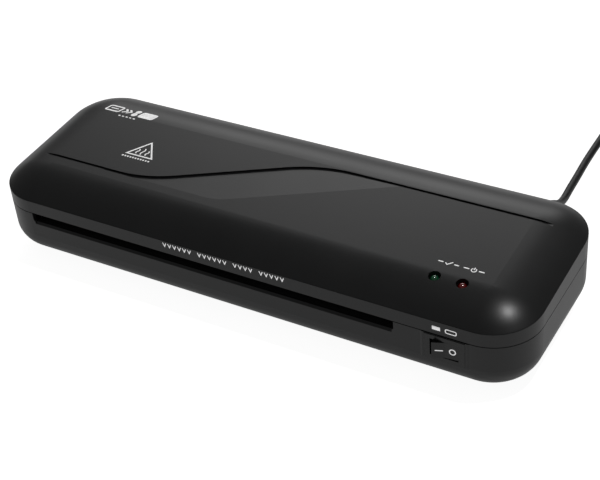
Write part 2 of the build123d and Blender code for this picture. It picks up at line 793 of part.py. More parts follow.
cord_floor = cord_radius
cord_top_layer = cord_floor + turn_step
tail_x = coil_x + coil_outer_turn
cord_points = (
    (cord_exit_x, half_depth + relief_length, cord_exit_z),
    (cord_exit_x, 84.5, cord_exit_z),
    (123.9, 92.5, 18.6),
    (123.5, 101.5, 12.9),
    (123.0, 111.0, 6.2),
    (122.4, 121.5, 2.9),
    (121.4, 133.5, cord_floor),
    (120.9, 148.0, cord_floor),
    (119.9, 166.0, cord_floor),
    (lane_x, 186.0, cord_floor),
    (lane_x, 206.0, cord_floor),
)
tail_points = (
    (tail_x, 207.0, cord_top_layer),
    (tail_x, 201.0, cord_top_layer),
    (tail_x + 0.6, 195.0, plug_half_height),
    (tail_x + 0.6, plug_y, plug_half_height),
)


def strain_relief():
    """Moulded sleeve: flange inside the wall, neck through it and a ribbed tail outside."""
    at = (cord_exit_x, cord_exit_z)
    sleeve = rod("Y", at, relief_flange, (inner_back - 1.9, inner_back - 0.4))
    sleeve += rod("Y", at, relief_neck, (inner_back - 0.4, half_depth))
    tail = Cone(relief_base, relief_tip, relief_length)
    sleeve += Pos(at[0], half_depth + relief_length / 2, at[1]) * Rot(-90, 0, 0) * tail
    return sleeve - rod("Y", at, cord_radius, (lead_start, half_depth + relief_length + 1))


def inlet_lead():
    """The lead's last stretch, through the strain relief and under the clamp."""
    return rod("Y", (cord_exit_x, cord_exit_z), cord_radius,
               (lead_start, half_depth + relief_length))


def cord_clamp():
    x = (cord_exit_x - clamp_width / 2, cord_exit_x + clamp_width / 2)
    y = (clamp_y - clamp_depth / 2, clamp_y + clamp_depth / 2)
    strap = block(x, y, (cord_exit_z + 0.01, cord_exit_z + clamp_height))
    strap -= rod("Y", (cord_exit_x, cord_exit_z), cord_radius, (y[0] - 1, y[1] + 1))
    for screw_x in clamp_screw_x:
        strap -= rod("Z", (screw_x, clamp_y), screw_radius,
                     (cord_exit_z - 1, cord_exit_z + clamp_height + 1))
    return strap


def coil_band():
    """Inner and outer radius of the coil's outer shape."""
    reach = cord_radius + 0.15
    return coil_inner_turn - reach, coil_outer_turn + reach


def cord_coil():
    """Outer shape of the tied coil, with its two ends."""
    inner, outer = coil_band()
    coil = ring("Z", (coil_x, coil_y), inner, outer, (coil_clear, 2 * turn_step))
    start, end = cord_points[-1], tail_points[0]
    coil += rod("Y", (start[0], start[2]), cord_radius, (start[1], coil_y))
    coil += rod("Y", (end[0], end[2]), cord_radius, (end[1], coil_y))
    return coil


def cord_tie():
    """Strap round one side of the coil."""
    inner, outer = coil_band()
    band = block((coil_x - 4, coil_x + 4), (coil_y + inner - 1.3, coil_y + outer + 1.3),
                 (0, 2 * turn_step + 1.2))
    hollow = ring("Z", (coil_x, coil_y), inner, outer, (-1, 2 * turn_step))
    return band - hollow


def plug_body():
    """Flat two-pin plug lying on the table, its pins towards -Y."""
    x, y, z = tail_points[-1]
    neck = Pos(x, y - 5, z) * Rot(90, 0, 0) * Cone(3.1, 4.2, 10)
    back = Plane(origin=(x, y - 10, z), x_dir=(1, 0, 0), z_dir=(0, -1, 0))
    middle = Plane(origin=(x, y - 22, z), x_dir=(1, 0, 0), z_dir=(0, -1, 0))
    face = Plane(origin=(x, y - 40, z), x_dir=(1, 0, 0), z_dir=(0, -1, 0))
    shell = loft([back * SlotOverall(11, 9), middle * SlotOverall(27, 12.6)])
    shell += loft([middle * SlotOverall(27, 12.6), face * SlotOverall(34, 2 * plug_half_height)])
    return neck + shell


def plug_pins():
    x, y, z = tail_points[-1]
    return group(
        fillet(rod("Y", (x + side * 9.3, z), 2.0, (y - 59, y - 40))
               .faces().sort_by(Axis.Y)[0].edges(), 1.4)
        for side in (-1, 1)
    )


# ---------------------------------------------------------------- assembly
lower_phase = 90.0
lower_at = (roller_y, lower_roller_z)
upper_at = (roller_y, upper_roller_z)
idler_at = (idler_y, idler_z)
pinion_at = (pinion_y, pinion_z)
upper_phase = meshed_phase(lower_at, lower_phase, roller_teeth, upper_at, roller_teeth)
idler_phase = meshed_phase(lower_at, lower_phase, roller_teeth, idler_at, idler_teeth)
pinion_phase = meshed_phase(idler_at, idler_phase, idler_teeth, pinion_at, pinion_teeth)
frames = ((left_frame_face, -1), (right_frame_face, 1))
element_low = plate_low - plate_thickness - element_thickness
element_high = plate_high + plate_thickness
clip_seat = bracket_outer + 1.2

nodes = {
    "lower_housing": lower_housing(),
    "top_cover": top_cover(),
    "rubber_feet": group(Pos(x, y) * rubber_foot() for x, y in feet_at),
    "cover_screws": group(
        screw("Z", at, cover_screw_seat, cover_screw_tip) for at in cover_screws_at
    ),
    "left_end_frame": end_frame(left_frame_face, -1),
    "right_end_frame": end_frame(right_frame_face, 1),
    "frame_screws": group(
        screw("Z", at, frame_bottom + frame_thickness, frame_screw_tip)
        for at in frame_screws_at()
    ),
    "lower_feed_guide": paper_guide(True, -1),
    "upper_feed_guide": paper_guide(True, 1),
    "lower_exit_guide": paper_guide(False, -1),
    "upper_exit_guide": paper_guide(False, 1),
    "lower_heater_plate": heater_plate(plate_low - plate_thickness),
    "upper_heater_plate": heater_plate(plate_high),
    "lower_heating_element": heating_element(element_low),
    "upper_heating_element": heating_element(element_high),
    "thermostat": thermostat(),
    "thermal_fuse": thermal_fuse(),
    "roller_bushes": roller_bushes(),
    "lower_roller_shaft": roller_shaft(lower_roller_z),
    "lower_roller_sleeve": roller_sleeve(lower_roller_z),
    "lower_roller_gear": gear(roller_teeth, lower_at, lower_phase, shaft_radius),
    "lower_shaft_clips": shaft_clips(lower_roller_z),
    "upper_roller_shaft": roller_shaft(upper_roller_z),
    "upper_roller_sleeve": roller_sleeve(upper_roller_z),
    "upper_roller_gear": gear(roller_teeth, upper_at, upper_phase, shaft_radius),
    "upper_shaft_clips": shaft_clips(upper_roller_z),
    "upper_bearing_blocks": group(bearing_block(*side) for side in frames),
    "pressure_springs": group(tension_spring(*side) for side in frames),
    "spring_pins": group(
        rod("X", (spring_y, spring_low_z), peg_radius,
            sorted((face + side * frame_thickness, face - side * 5.2)))
        for face, side in frames
    ),
    "idler_pin": rod("X", idler_at, idler_pin_radius, (right_frame_face, bracket_outer)),
    "idler_washers": group(
        ring("X", idler_at, idler_pin_radius, 3.6, span)
        for span in ((right_frame_face + frame_thickness, gear_left - 0.3),
                     (gear_right + 0.3, bracket_face))
    ),
    "idler_gear": gear(idler_teeth, idler_at, idler_phase, idler_pin_radius + running_clearance),
    "motor_pinion": motor_pinion(pinion_phase),
    "motor_bracket": motor_bracket(),
    "bracket_standoffs": group(
        rod("X", at, 3.0, (right_frame_face + frame_thickness, bracket_face))
        - rod("X", at, screw_radius, (right_frame_face, bracket_outer))
        for at in standoffs
    ),
    "bracket_screws": group(
        screw("X", at, bracket_outer, bracket_face - 5) for at in standoffs
    ),
    "drive_motor": motor(),
    "motor_screws": group(
        screw("X", (pinion_y + side * motor_ear_reach, pinion_z), clip_seat, bracket_face - 0.8)
        for side in (-1, 1)
    ),
    "switch_body": switch_body(),
    "switch_terminals": switch_terminals(),
    "rocker": rocker(),
    "control_board": control_board(),
    "board_components": board_components(),
    "board_screws": group(
        rod("Z", at, 2.4, (board_bottom - 1.4, board_bottom))
        + rod("Z", at, 1.1, (board_bottom, board_top + 3))
        for at in board_posts()
    ),
    "green_lamp": lamp(lamp_x[0]),
    "red_lamp": lamp(lamp_x[1]),
    "mains_wires": mains_wires(),
    "motor_wires": motor_wires(),
    "inlet_lead": inlet_lead(),
    "cord_clamp": cord_clamp(),
    "clamp_screws": group(
        screw("Z", (x, clamp_y), cord_exit_z + clamp_height, clamp_screw_tip)
        for x in clamp_screw_x
    ),
    "strain_relief": strain_relief(),
    "cord_run": cord_tube(cord_points),
    "cord_coil": cord_coil(),
    "cord_tie": cord_tie(),
    "cord_tail": cord_tube(tail_points),
    "plug_body": plug_body(),
    "plug_pins": plug_pins(),
}

os.makedirs("parts", exist_ok=True)
for name, shape in nodes.items():
    export_step(shape, f"parts/{name}.step")
print(len(nodes), "nodes")
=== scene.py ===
# %% [markdown]
# # A pouch laminator, from the maker's frame to the finished look
#
# The machine is a low black case, rounded at its ends, that pulls a sheet in a pouch between two
# hot plates and two rollers. The frame below is the working model: every casing, gear and screw at
# its true size. This lesson only dresses it: surfaces, printed marks, lamps, the mains cord, light
# and camera. Everything is in metres, and the table is at height zero.

# %% Load the frame
import math

import bmesh
import bpy
import numpy as np
from mathutils import Matrix, Vector
from mathutils.bvhtree import BVHTree


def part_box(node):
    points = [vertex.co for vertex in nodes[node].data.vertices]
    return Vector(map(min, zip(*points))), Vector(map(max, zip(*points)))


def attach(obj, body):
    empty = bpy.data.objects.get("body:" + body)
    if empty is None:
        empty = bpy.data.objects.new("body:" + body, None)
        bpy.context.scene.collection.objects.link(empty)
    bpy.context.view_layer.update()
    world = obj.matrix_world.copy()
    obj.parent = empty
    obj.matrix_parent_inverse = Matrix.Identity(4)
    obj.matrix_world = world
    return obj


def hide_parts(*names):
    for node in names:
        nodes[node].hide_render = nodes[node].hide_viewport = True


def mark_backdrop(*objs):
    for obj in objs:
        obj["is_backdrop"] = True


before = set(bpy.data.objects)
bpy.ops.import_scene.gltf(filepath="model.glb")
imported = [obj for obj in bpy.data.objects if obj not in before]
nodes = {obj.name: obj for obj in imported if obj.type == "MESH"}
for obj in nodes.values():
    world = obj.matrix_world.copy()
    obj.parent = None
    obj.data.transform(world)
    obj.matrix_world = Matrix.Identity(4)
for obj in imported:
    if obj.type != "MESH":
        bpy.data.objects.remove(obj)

MM = 0.001
scene = bpy.context.scene
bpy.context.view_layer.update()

# %% [markdown]
# ## The camera
#
# A long lens from the front right, looking down at the case, so that its lines stay almost
# parallel. The camera is placed by its bearing, its height angle and its distance from the point
# that it looks at, and it leans a little to one side, which makes the case climb to the left.

# %% Place the camera
AIM = Vector((0.01769, -0.01316, 0.0330))
DISTANCE = 0.75848
BEARING, HEIGHT_ANGLE, LEAN = (math.radians(a) for a in (32.78, 36.69, -5.36))
LENS_MM, SENSOR_MM = 81.72, 36.0


def place_camera():
    """The camera looks along -back, and its upright is turned by LEAN about that line."""
    data = bpy.data.cameras.new("camera")
    data.lens, data.sensor_width = LENS_MM, SENSOR_MM
    camera = bpy.data.objects.new("camera", data)
    scene.collection.objects.link(camera)
    back = Vector((
        math.sin(BEARING) * math.cos(HEIGHT_ANGLE),
        -math.cos(BEARING) * math.cos(HEIGHT_ANGLE),
        math.sin(HEIGHT_ANGLE),
    ))
    level = Vector((0, 0, 1)).cross(back).normalized()
    upright = back.cross(level)
    right = math.cos(LEAN) * level + math.sin(LEAN) * upright
    up = back.cross(right)
    turn = Matrix((right, up, back)).transposed().to_4x4()
    camera.matrix_world = Matrix.Translation(AIM + back * DISTANCE) @ turn
    scene.camera = camera
    return camera


camera = place_camera()
print("camera stands at", [round(v, 4) for v in camera.matrix_world.translation])

# %% [markdown]
# ## The mains cord
#
# A cord is a fixed length of something flexible. It leaves the sleeve at the back straight, drops
# to the table in one easy bend and runs on behind the case. What is left over is wound up in a
# neat round coil, tied, with the plug beside it.
#
# One smooth spline holds the whole route. The loose stretch is a list of points. The
# coil is a formula: the radius shrinks evenly on the bottom layer, the cord climbs by one diameter
# at the middle, and the radius grows evenly again on the top layer.

# %% The cord's route
CORD_DIAMETER = 4.8 * MM
CORD_EXIT = (0.1240, 0.0765, 0.0210)
LOOSE_POINTS = (
    (0.1240, 0.0765, 0.0210), (0.1240, 0.0845, 0.0210), (0.1239, 0.0925, 0.0186),
    (0.1235, 0.1015, 0.0129), (0.1230, 0.1110, 0.0062), (0.1224, 0.1215, 0.0029),
    (0.1214, 0.1335, 0.0024), (0.1209, 0.1480, 0.0024), (0.1199, 0.1660, 0.0024),
    (0.1197, 0.1860, 0.0024), (0.1197, 0.2060, 0.0024),
)
TAIL_POINTS = (
    (0.1873, 0.2070, 0.0073), (0.1873, 0.2010, 0.0073),
    (0.1879, 0.1950, 0.0065), (0.1879, 0.1890, 0.0065),
)
COIL_CENTRE = (0.1535, 0.226)
COIL_OUTER, TURN_STEP = 33.8 * MM, 4.9 * MM
TURNS_IN, TURNS_UP, TURNS_OUT = 1130 / 360, 70 / 360, 1140 / 360
POINTS_A_TURN = 20
CORD_ROUNDNESS, CORD_SMOOTHNESS = 6, 6


def coil_points():
    """Spiral in, climb and spiral out, clockwise from the left.

    The radius falls by one step a turn, holds while the height goes up by one step along an
    S-curve (3 c^2 - 2 c^3), and then rises by one step a turn. The spline runs a little inside
    its points: in the middle of a span it is at (6 + 2 cos a) / 8 of their radius, where a is
    the angle between two points, so the points are moved out by the inverse of that.
    """
    count = round((TURNS_IN + TURNS_UP + TURNS_OUT) * POINTS_A_TURN)
    turn = np.arange(count + 1) / POINTS_A_TURN
    inward = np.minimum(turn, TURNS_IN)
    outward = np.clip(turn - TURNS_IN - TURNS_UP, 0, None)
    radius = COIL_OUTER + TURN_STEP * (outward - inward)
    climb = np.clip((turn - TURNS_IN) / TURNS_UP, 0, 1)
    height = CORD_DIAMETER / 2 + TURN_STEP * climb * climb * (3 - 2 * climb)
    radius = radius * 8 / (6 + 2 * math.cos(2 * math.pi / POINTS_A_TURN))
    angle = math.pi - 2 * math.pi * turn
    x = COIL_CENTRE[0] + radius * np.cos(angle)
    y = COIL_CENTRE[1] + radius * np.sin(angle)
    return np.column_stack((x, y, height))


def spline_object(name, points, radius):
    """One open NURBS spline of order 3 from the first point to the last.

    The roundness of the curve is 1, and each point holds the cord's own radius.
    """
    data = bpy.data.curves.new(name, "CURVE")
    data.dimensions = "3D"
    data.bevel_depth = 1.0
    data.bevel_resolution = CORD_ROUNDNESS
    data.resolution_u = CORD_SMOOTHNESS
    data.use_fill_caps = True
    spline = data.splines.new("NURBS")
    spline.points.add(len(points) - 1)
    flat = np.column_stack((points, np.ones(len(points)))).ravel()
    spline.points.foreach_set("co", flat)
    spline.points.foreach_set("radius", np.full(len(points), radius))
    spline.order_u = 3
    spline.use_endpoint_u = True
    obj = bpy.data.objects.new(name, data)
    scene.collection.objects.link(obj)
    return obj


def route_length(obj):
    """Length of the spline itself, read from the curve with its roundness switched off."""
    bevel, obj.data.bevel_depth = obj.data.bevel_depth, 0
    line = bpy.data.meshes.new_from_object(obj)
    obj.data.bevel_depth = bevel
    at = np.empty(len(line.vertices) * 3)
    line.vertices.foreach_get("co", at)
    bpy.data.meshes.remove(line)
    return float(np.linalg.norm(np.diff(at.reshape(-1, 3), axis=0), axis=1).sum())


route = np.vstack((LOOSE_POINTS, coil_points(), TAIL_POINTS))
mains_cord = spline_object("mains_cord", route, CORD_DIAMETER / 2)
cord_length = route_length(mains_cord)
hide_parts("cord_run", "cord_coil", "cord_tail")
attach(mains_cord, "housing")
print(f"the cord is {cord_length:.3f} m long")

# %% [markdown]
# ## Surfaces: grain, drawn metal and handling
#
# Nearly every finish here is a plain colour that is broken up by something small: the fine spark
# texture of a moulding tool, the lines that a die or a lathe leaves, and the slight unevenness of
# a surface that hands have touched. Each of those three effects is one node group, built once and
# given its own numbers in every material that needs it. A group gives out only values that change
# over the surface. What is the same everywhere is set on the shader itself.
#
# Two helpers come first: one makes an empty group with named inputs and outputs, and one adds a
# node and fills in and links its sockets by name, which keeps each recipe to a few lines.

# %% Helpers for nodes and groups
def new_group(name, inputs, outputs):
    """An empty shader group with named sockets; returns its tree and its two end nodes."""
    tree = bpy.data.node_groups.new(name, "ShaderNodeTree")
    for label, kind, value in inputs:
        socket = tree.interface.new_socket(label, in_out="INPUT", socket_type=kind)
        if value is not None:
            socket.default_value = value
    for label, kind in outputs:
        tree.interface.new_socket(label, in_out="OUTPUT", socket_type=kind)
    return tree, tree.nodes.new("NodeGroupInput"), tree.nodes.new("NodeGroupOutput")


def node(tree, kind, links=(), **values):
    """Adds a node, sets its properties or sockets by name and links its inputs.

    links holds pairs: the name of an input, and the output that feeds it.
    """
    made = tree.nodes.new("ShaderNode" + kind)
    for label, value in values.items():
        if hasattr(made, label) and not isinstance(value, (tuple, list)):
            setattr(made, label, value)
        else:
            made.inputs[label.replace("_", " ")].default_value = value
    for label, source in links:
        tree.links.new(source, made.inputs[label])
    return made


TEXTURE_OUTPUTS = (("Height", "NodeSocketFloat"), ("Patch", "NodeSocketFloat"))
print("a texture group gives out", [label for label, _ in TEXTURE_OUTPUTS])

# %% [markdown]
# ### Moulded grain
#
# A moulding tool is etched with sparks, and the plastic copies it: a fine, even, bumpy noise. A
# second noise, broad and slow, stands for handling and for the uneven flow of the plastic. It
# could be painted by hand, but a noise needs no seams and fits every part.

# %% Moulded grain
PATCH_LOW, PATCH_HIGH = 0.3, 0.7


def grain_group():
    """Height of a fine noise, and a broad slow noise spread to the range 0 to 1."""
    tree, given, out = new_group("moulded_grain", (
        ("Vector", "NodeSocketVector", None),
        ("Grain", "NodeSocketFloat", 3000.0),
        ("Patches", "NodeSocketFloat", 18.0),
    ), TEXTURE_OUTPUTS)
    at = ("Vector", given.outputs["Vector"])
    fine = node(tree, "TexNoise", Detail=3.0, Roughness=0.6,
                links=(at, ("Scale", given.outputs["Grain"])))
    broad = node(tree, "TexNoise", Detail=4.0, Roughness=0.55,
                 links=(at, ("Scale", given.outputs["Patches"])))
    spread = node(tree, "MapRange", From_Min=PATCH_LOW, From_Max=PATCH_HIGH,
                  links=(("Value", broad.outputs["Fac"]),))
    tree.links.new(fine.outputs["Fac"], out.inputs["Height"])
    tree.links.new(spread.outputs["Result"], out.inputs["Patch"])
    return tree


GRAIN = grain_group()
print("made the group", GRAIN.name)

# %% [markdown]
# ### Drawn lines
#
# A bar that is pulled through a die, or a pin that is ground on a lathe, carries fine lines in one
# direction. They are a noise too, but one that is read through a squeezed vector: where the
# vector hardly changes, the noise hardly changes, and each grain becomes a line.

# %% Drawn lines
def drawn_group():
    """Lines along one direction: the vector is squeezed along it before a noise reads it."""
    tree, given, out = new_group("drawn_lines", (
        ("Vector", "NodeSocketVector", None),
        ("Squeeze", "NodeSocketVector", (1.0, 1.0, 1.0)),
        ("Lines", "NodeSocketFloat", 1500.0),
    ), TEXTURE_OUTPUTS)
    squeezed = node(tree, "VectorMath", operation="MULTIPLY")
    tree.links.new(given.outputs["Vector"], squeezed.inputs[0])
    tree.links.new(given.outputs["Squeeze"], squeezed.inputs[1])
    lines = node(tree, "TexNoise", Detail=5.0, Roughness=0.7,
                 links=(("Vector", squeezed.outputs["Vector"]), ("Scale", given.outputs["Lines"])))
    blotch = node(tree, "TexNoise", Scale=60.0, Detail=3.0,
                  links=(("Vector", given.outputs["Vector"]),))
    spread = node(tree, "MapRange", From_Min=PATCH_LOW, From_Max=PATCH_HIGH,
                  links=(("Value", blotch.outputs["Fac"]),))
    tree.links.new(lines.outputs["Fac"], out.inputs["Height"])
    tree.links.new(spread.outputs["Result"], out.inputs["Patch"])
    return tree


DRAWN = drawn_group()
print("made the group", DRAWN.name)

# %% [markdown]
# ### From a mask to tones
#
# Where a surface is handled it is a little lighter and duller at once. One mask drives both: it
# mixes two tones and, with the same value, slides the roughness between two limits.

# %% Tones and roughness from one mask
# A Mix node has a set of sockets for each kind of value; these are the places of the colour ones.
MIX_COLOR_A, MIX_COLOR_B, MIX_COLOR_OUT = 6, 7, 2


def range_group():
    """Turns a mask from 0 to 1 into a colour between two tones and a roughness between two."""
    tree, given, out = new_group("tone_range", (
        ("Mask", "NodeSocketFloat", 0.5),
        ("Dark", "NodeSocketColor", None),
        ("Light", "NodeSocketColor", None),
        ("Smooth", "NodeSocketFloat", 0.3),
        ("Dull", "NodeSocketFloat", 0.5),
    ), (("Color", "NodeSocketColor"), ("Roughness", "NodeSocketFloat")))
    mix = node(tree, "Mix", data_type="RGBA")
    tree.links.new(given.outputs["Mask"], mix.inputs["Factor"])
    tree.links.new(given.outputs["Dark"], mix.inputs[MIX_COLOR_A])
    tree.links.new(given.outputs["Light"], mix.inputs[MIX_COLOR_B])
    dull = node(tree, "MapRange", links=(
        ("Value", given.outputs["Mask"]),
        ("To Min", given.outputs["Smooth"]),
        ("To Max", given.outputs["Dull"]),
    ))
    tree.links.new(mix.outputs[MIX_COLOR_OUT], out.inputs["Color"])
    tree.links.new(dull.outputs["Result"], out.inputs["Roughness"])
    return tree


TONES = range_group()
print("made the group", TONES.name)

# %% [markdown]
# ## One maker for every finish
#
# A finish is a texture group, a pair of tones, a pair of roughness values and the depth of its
# bump. The bump depth is a real one, in metres: about a hundredth of a millimetre on a moulding.

# %% The maker of finishes
def finish(name, dark, light, smooth, dull, depth, grain=None, patches=18.0, squeeze=None,
           lines=1500.0, **shader):
    """A material from the groups; `shader` holds the Principled sockets that stay even all over."""
    made = bpy.data.materials.new(name)
    made.use_nodes = True
    tree = made.node_tree
    principled = tree.nodes["Principled BSDF"]
    for label, value in shader.items():
        principled.inputs[label.replace("_", " ")].default_value = value
    at = node(tree, "TexCoord").outputs["Object"]
    texture = tree.nodes.new("ShaderNodeGroup")
    if squeeze is None:
        texture.node_tree = GRAIN
        texture.inputs["Grain"].default_value = grain
        texture.inputs["Patches"].default_value = patches
    else:
        texture.node_tree = DRAWN
        texture.inputs["Squeeze"].default_value = squeeze
        texture.inputs["Lines"].default_value = lines
    tree.links.new(at, texture.inputs["Vector"])
    tones = tree.nodes.new("ShaderNodeGroup")
    tones.node_tree = TONES
    tones.inputs["Dark"].default_value = (*dark, 1)
    tones.inputs["Light"].default_value = (*light, 1)
    tones.inputs["Smooth"].default_value = smooth
    tones.inputs["Dull"].default_value = dull
    tree.links.new(texture.outputs["Patch"], tones.inputs["Mask"])
    tree.links.new(tones.outputs["Color"], principled.inputs["Base Color"])
    tree.links.new(tones.outputs["Roughness"], principled.inputs["Roughness"])
    bump = node(tree, "Bump", Distance=depth, Strength=1.0,
                links=(("Height", texture.outputs["Height"]),))
    tree.links.new(bump.outputs["Normal"], principled.inputs["Normal"])
    return made


def grey(value, warm=0.0):
    """A grey, or one with a share more red and as much less blue."""
    return (value * (1 + warm), value, value * (1 - warm))


print("black plastic is about", grey(0.01))

# %% [markdown]
# ### Plastics and rubber
#
# The case is black all through, with a low sheen. Each plastic keeps its own pair of roughness
# values: the switch is a little shinier than the case, and the feet and the guides are duller.

# %% Plastics and rubber
case_plastic = finish("case_plastic", grey(0.0095, -0.02), grey(0.0125, -0.02), 0.29, 0.34,
                      0.009 * MM, grain=2600.0, patches=14.0)
guide_plastic = finish("guide_plastic", grey(0.012), grey(0.018), 0.45, 0.55, 0.02 * MM,
                       grain=1800.0)
switch_plastic = finish("switch_plastic", grey(0.009), grey(0.011), 0.24, 0.30, 0.004 * MM,
                        grain=3500.0, patches=60.0)
foot_rubber = finish("foot_rubber", grey(0.016), grey(0.028), 0.7, 0.85, 0.03 * MM, grain=2500.0)
cord_pvc = finish("cord_pvc", grey(0.010), grey(0.014), 0.36, 0.46, 0.006 * MM, grain=2200.0,
                  patches=30.0)
plastics = (case_plastic, guide_plastic, switch_plastic, foot_rubber, cord_pvc)
print("plastics:", [m.name for m in plastics])

# %% [markdown]
# ### Metals
#
# Zinc plate is blotchy, ground steel has lines round the shaft, bronze bushes are pressed from
# powder and stay grainy, and aluminium keeps the long lines of the die that it came through.

# %% Metals
zinc = finish("zinc_plate", grey(0.50, 0.01), grey(0.66, 0.03), 0.26, 0.42, 0.004 * MM,
              grain=1400.0, patches=90.0, Metallic=1.0)
ground_steel = finish("ground_steel", grey(0.52), grey(0.62), 0.16, 0.28, 0.003 * MM,
                      squeeze=(40.0, 1.0, 1.0), lines=160.0, Metallic=1.0)
bronze = finish("sintered_bronze", (0.42, 0.27, 0.12), (0.58, 0.39, 0.19), 0.34, 0.5, 0.01 * MM,
                grain=3000.0, patches=200.0, Metallic=1.0)
aluminium = finish("extruded_aluminium", grey(0.62, -0.01), grey(0.74), 0.28, 0.42, 0.006 * MM,
                   squeeze=(0.02, 1.0, 1.0), lines=1800.0, Metallic=1.0)
print("metals:", [m.name for m in (zinc, ground_steel, bronze, aluminium)])

# %% [markdown]
# ### The works
#
# Milky gears, red silicone rollers, mica heaters, the green board and its parts, and the wires.
# The insulation and the resin are plain; only the gears let a little light in.

# %% Gears, rollers, heaters and electrics
acetal = finish("natural_acetal", (0.70, 0.68, 0.62), (0.80, 0.78, 0.72), 0.34, 0.42, 0.004 * MM,
                grain=1500.0, patches=120.0, Subsurface_Weight=0.15, Subsurface_Scale=0.002)
silicone = finish("red_silicone", (0.26, 0.045, 0.022), (0.33, 0.065, 0.03), 0.5, 0.62,
                  0.012 * MM, grain=1600.0, patches=40.0)
mica = finish("mica_element", (0.42, 0.36, 0.24), (0.55, 0.48, 0.34), 0.4, 0.55, 0.01 * MM,
              grain=700.0, patches=70.0)
laminate = finish("board_laminate", (0.012, 0.10, 0.035), (0.018, 0.14, 0.05), 0.28, 0.36,
                  0.006 * MM, squeeze=(1.0, 1.0, 1.0), lines=900.0)
component = finish("component_resin", grey(0.02), grey(0.04), 0.4, 0.5, 0.01 * MM, grain=2500.0)
wire_brown = finish("wire_insulation", (0.16, 0.055, 0.018), (0.20, 0.07, 0.025), 0.38, 0.46,
                    0.005 * MM, grain=2000.0)
wire_grey = finish("thin_wire_insulation", grey(0.30), grey(0.38), 0.38, 0.46, 0.005 * MM,
                   grain=2000.0)
works = (acetal, silicone, mica, laminate, component, wire_brown, wire_grey)
print("works:", [m.name for m in works])

# %% [markdown]
# ### Ink, tape and lenses
#
# The ink is flat white and gives off a touch of light, so that it still reads as white on a black
# case in a dark studio. The coil's tape is woven, so it has a sheen. A lamp's lens is tinted clear
# epoxy: light goes in, and the little that comes back has the lens's colour.

# %% Ink, tape and lenses
ink = finish("screen_ink", grey(0.80), grey(0.88), 0.42, 0.52, 0.004 * MM, grain=4000.0,
             patches=300.0, Emission_Color=(1, 1, 1, 1), Emission_Strength=0.42)
webbing = finish("tie_webbing", grey(0.012), grey(0.022), 0.7, 0.85, 0.05 * MM,
                 squeeze=(1.0, 0.6, 0.6), lines=2200.0, Sheen_Weight=0.3)


def lens(name, dark, light, glow):
    """Clear epoxy between two tints, with a coat of gloss and a faint painted glow in its own
    colour.
    """
    return finish(name, dark, light, 0.03, 0.06, 0.001 * MM, grain=900.0, patches=400.0,
                  # The emission is a faint painted glow in the lens's colour, not light from a lit
                  # lamp.
                  Transmission_Weight=0.55, IOR=1.52, Emission_Color=(*glow, 1),
                  Emission_Strength=0.015, Specular_IOR_Level=1.0, Coat_Weight=1.0,
                  Coat_Roughness=0.03)


green_lens = lens("green_lens", (0.0, 0.10, 0.035), (0.0, 0.16, 0.06), (0.0, 0.5, 0.16))
red_lens = lens("red_lens", (0.20, 0.004, 0.004), (0.30, 0.008, 0.008), (0.7, 0.01, 0.01))
print("also:", [m.name for m in (ink, webbing, green_lens, red_lens)])

# %% [markdown]
# ## Dress the working parts
#
# Each part of the frame gets the finish that its maker would order. The names say what the parts
# are, so one table is enough.

# %% Finish of each part
DRESS = {
    case_plastic: ("lower_housing", "top_cover"),
    switch_plastic: ("switch_body", "rocker"),
    guide_plastic: ("lower_feed_guide", "upper_feed_guide", "lower_exit_guide",
                    "upper_exit_guide", "upper_bearing_blocks", "cord_clamp"),
    foot_rubber: ("rubber_feet",),
    cord_pvc: ("inlet_lead",),
    zinc: ("cover_screws", "left_end_frame", "right_end_frame", "frame_screws", "motor_bracket",
           "bracket_standoffs", "bracket_screws", "motor_screws", "clamp_screws", "board_screws",
           "spring_pins", "idler_washers", "drive_motor", "lower_shaft_clips",
           "upper_shaft_clips", "thermostat"),
    ground_steel: ("lower_roller_shaft", "upper_roller_shaft", "idler_pin", "pressure_springs",
                   "thermal_fuse"),
    bronze: ("roller_bushes", "switch_terminals"),
    aluminium: ("lower_heater_plate", "upper_heater_plate"),
    mica: ("lower_heating_element", "upper_heating_element"),
    acetal: ("lower_roller_gear", "upper_roller_gear", "idler_gear", "motor_pinion"),
    silicone: ("lower_roller_sleeve", "upper_roller_sleeve"),
    laminate: ("control_board",),
    component: ("board_components",),
    wire_brown: ("mains_wires",),
    wire_grey: ("motor_wires",),
    green_lens: ("green_lamp",),
    red_lens: ("red_lamp",),
}


def dress(obj, made):
    """Puts one material on every face of an object."""
    obj.data.materials.clear()
    obj.data.materials.append(made)


for made, names in DRESS.items():
    for name in names:
        dress(nodes[name], made)
dress(mains_cord, cord_pvc)
undressed = sorted(set(nodes) - {n for names in DRESS.values() for n in names})
print("left for pieces of their own:", undressed)

# %% [markdown]
# ## Shapes from grids
#
# The new pieces are all sheets of numbers: a function of two parameters gives a point for each
# crossing of a grid, and neighbouring crossings make the faces. A closed tube joins its last
# column to its first, and a fan of triangles shuts each end.

# %% Grid to mesh
SAME_POINT = 1e-7


def grid_faces(rows, columns, wrap_rows=False, wrap_columns=False):
    """Corner numbers of every cell of a grid; point (row, column) is row * columns + column.

    Wrapping adds the cells between the last line and the first.
    """
    rows_used = np.arange(rows if wrap_rows else rows - 1)
    columns_used = np.arange(columns if wrap_columns else columns - 1)
    row, column = np.meshgrid(rows_used, columns_used, indexing="ij")
    next_row, next_column = (row + 1) % rows, (column + 1) % columns
    corners = ((row, column), (next_row, column), (next_row, next_column), (row, next_column))
    return np.stack([r * columns + c for r, c in corners], -1).reshape(-1, 4)


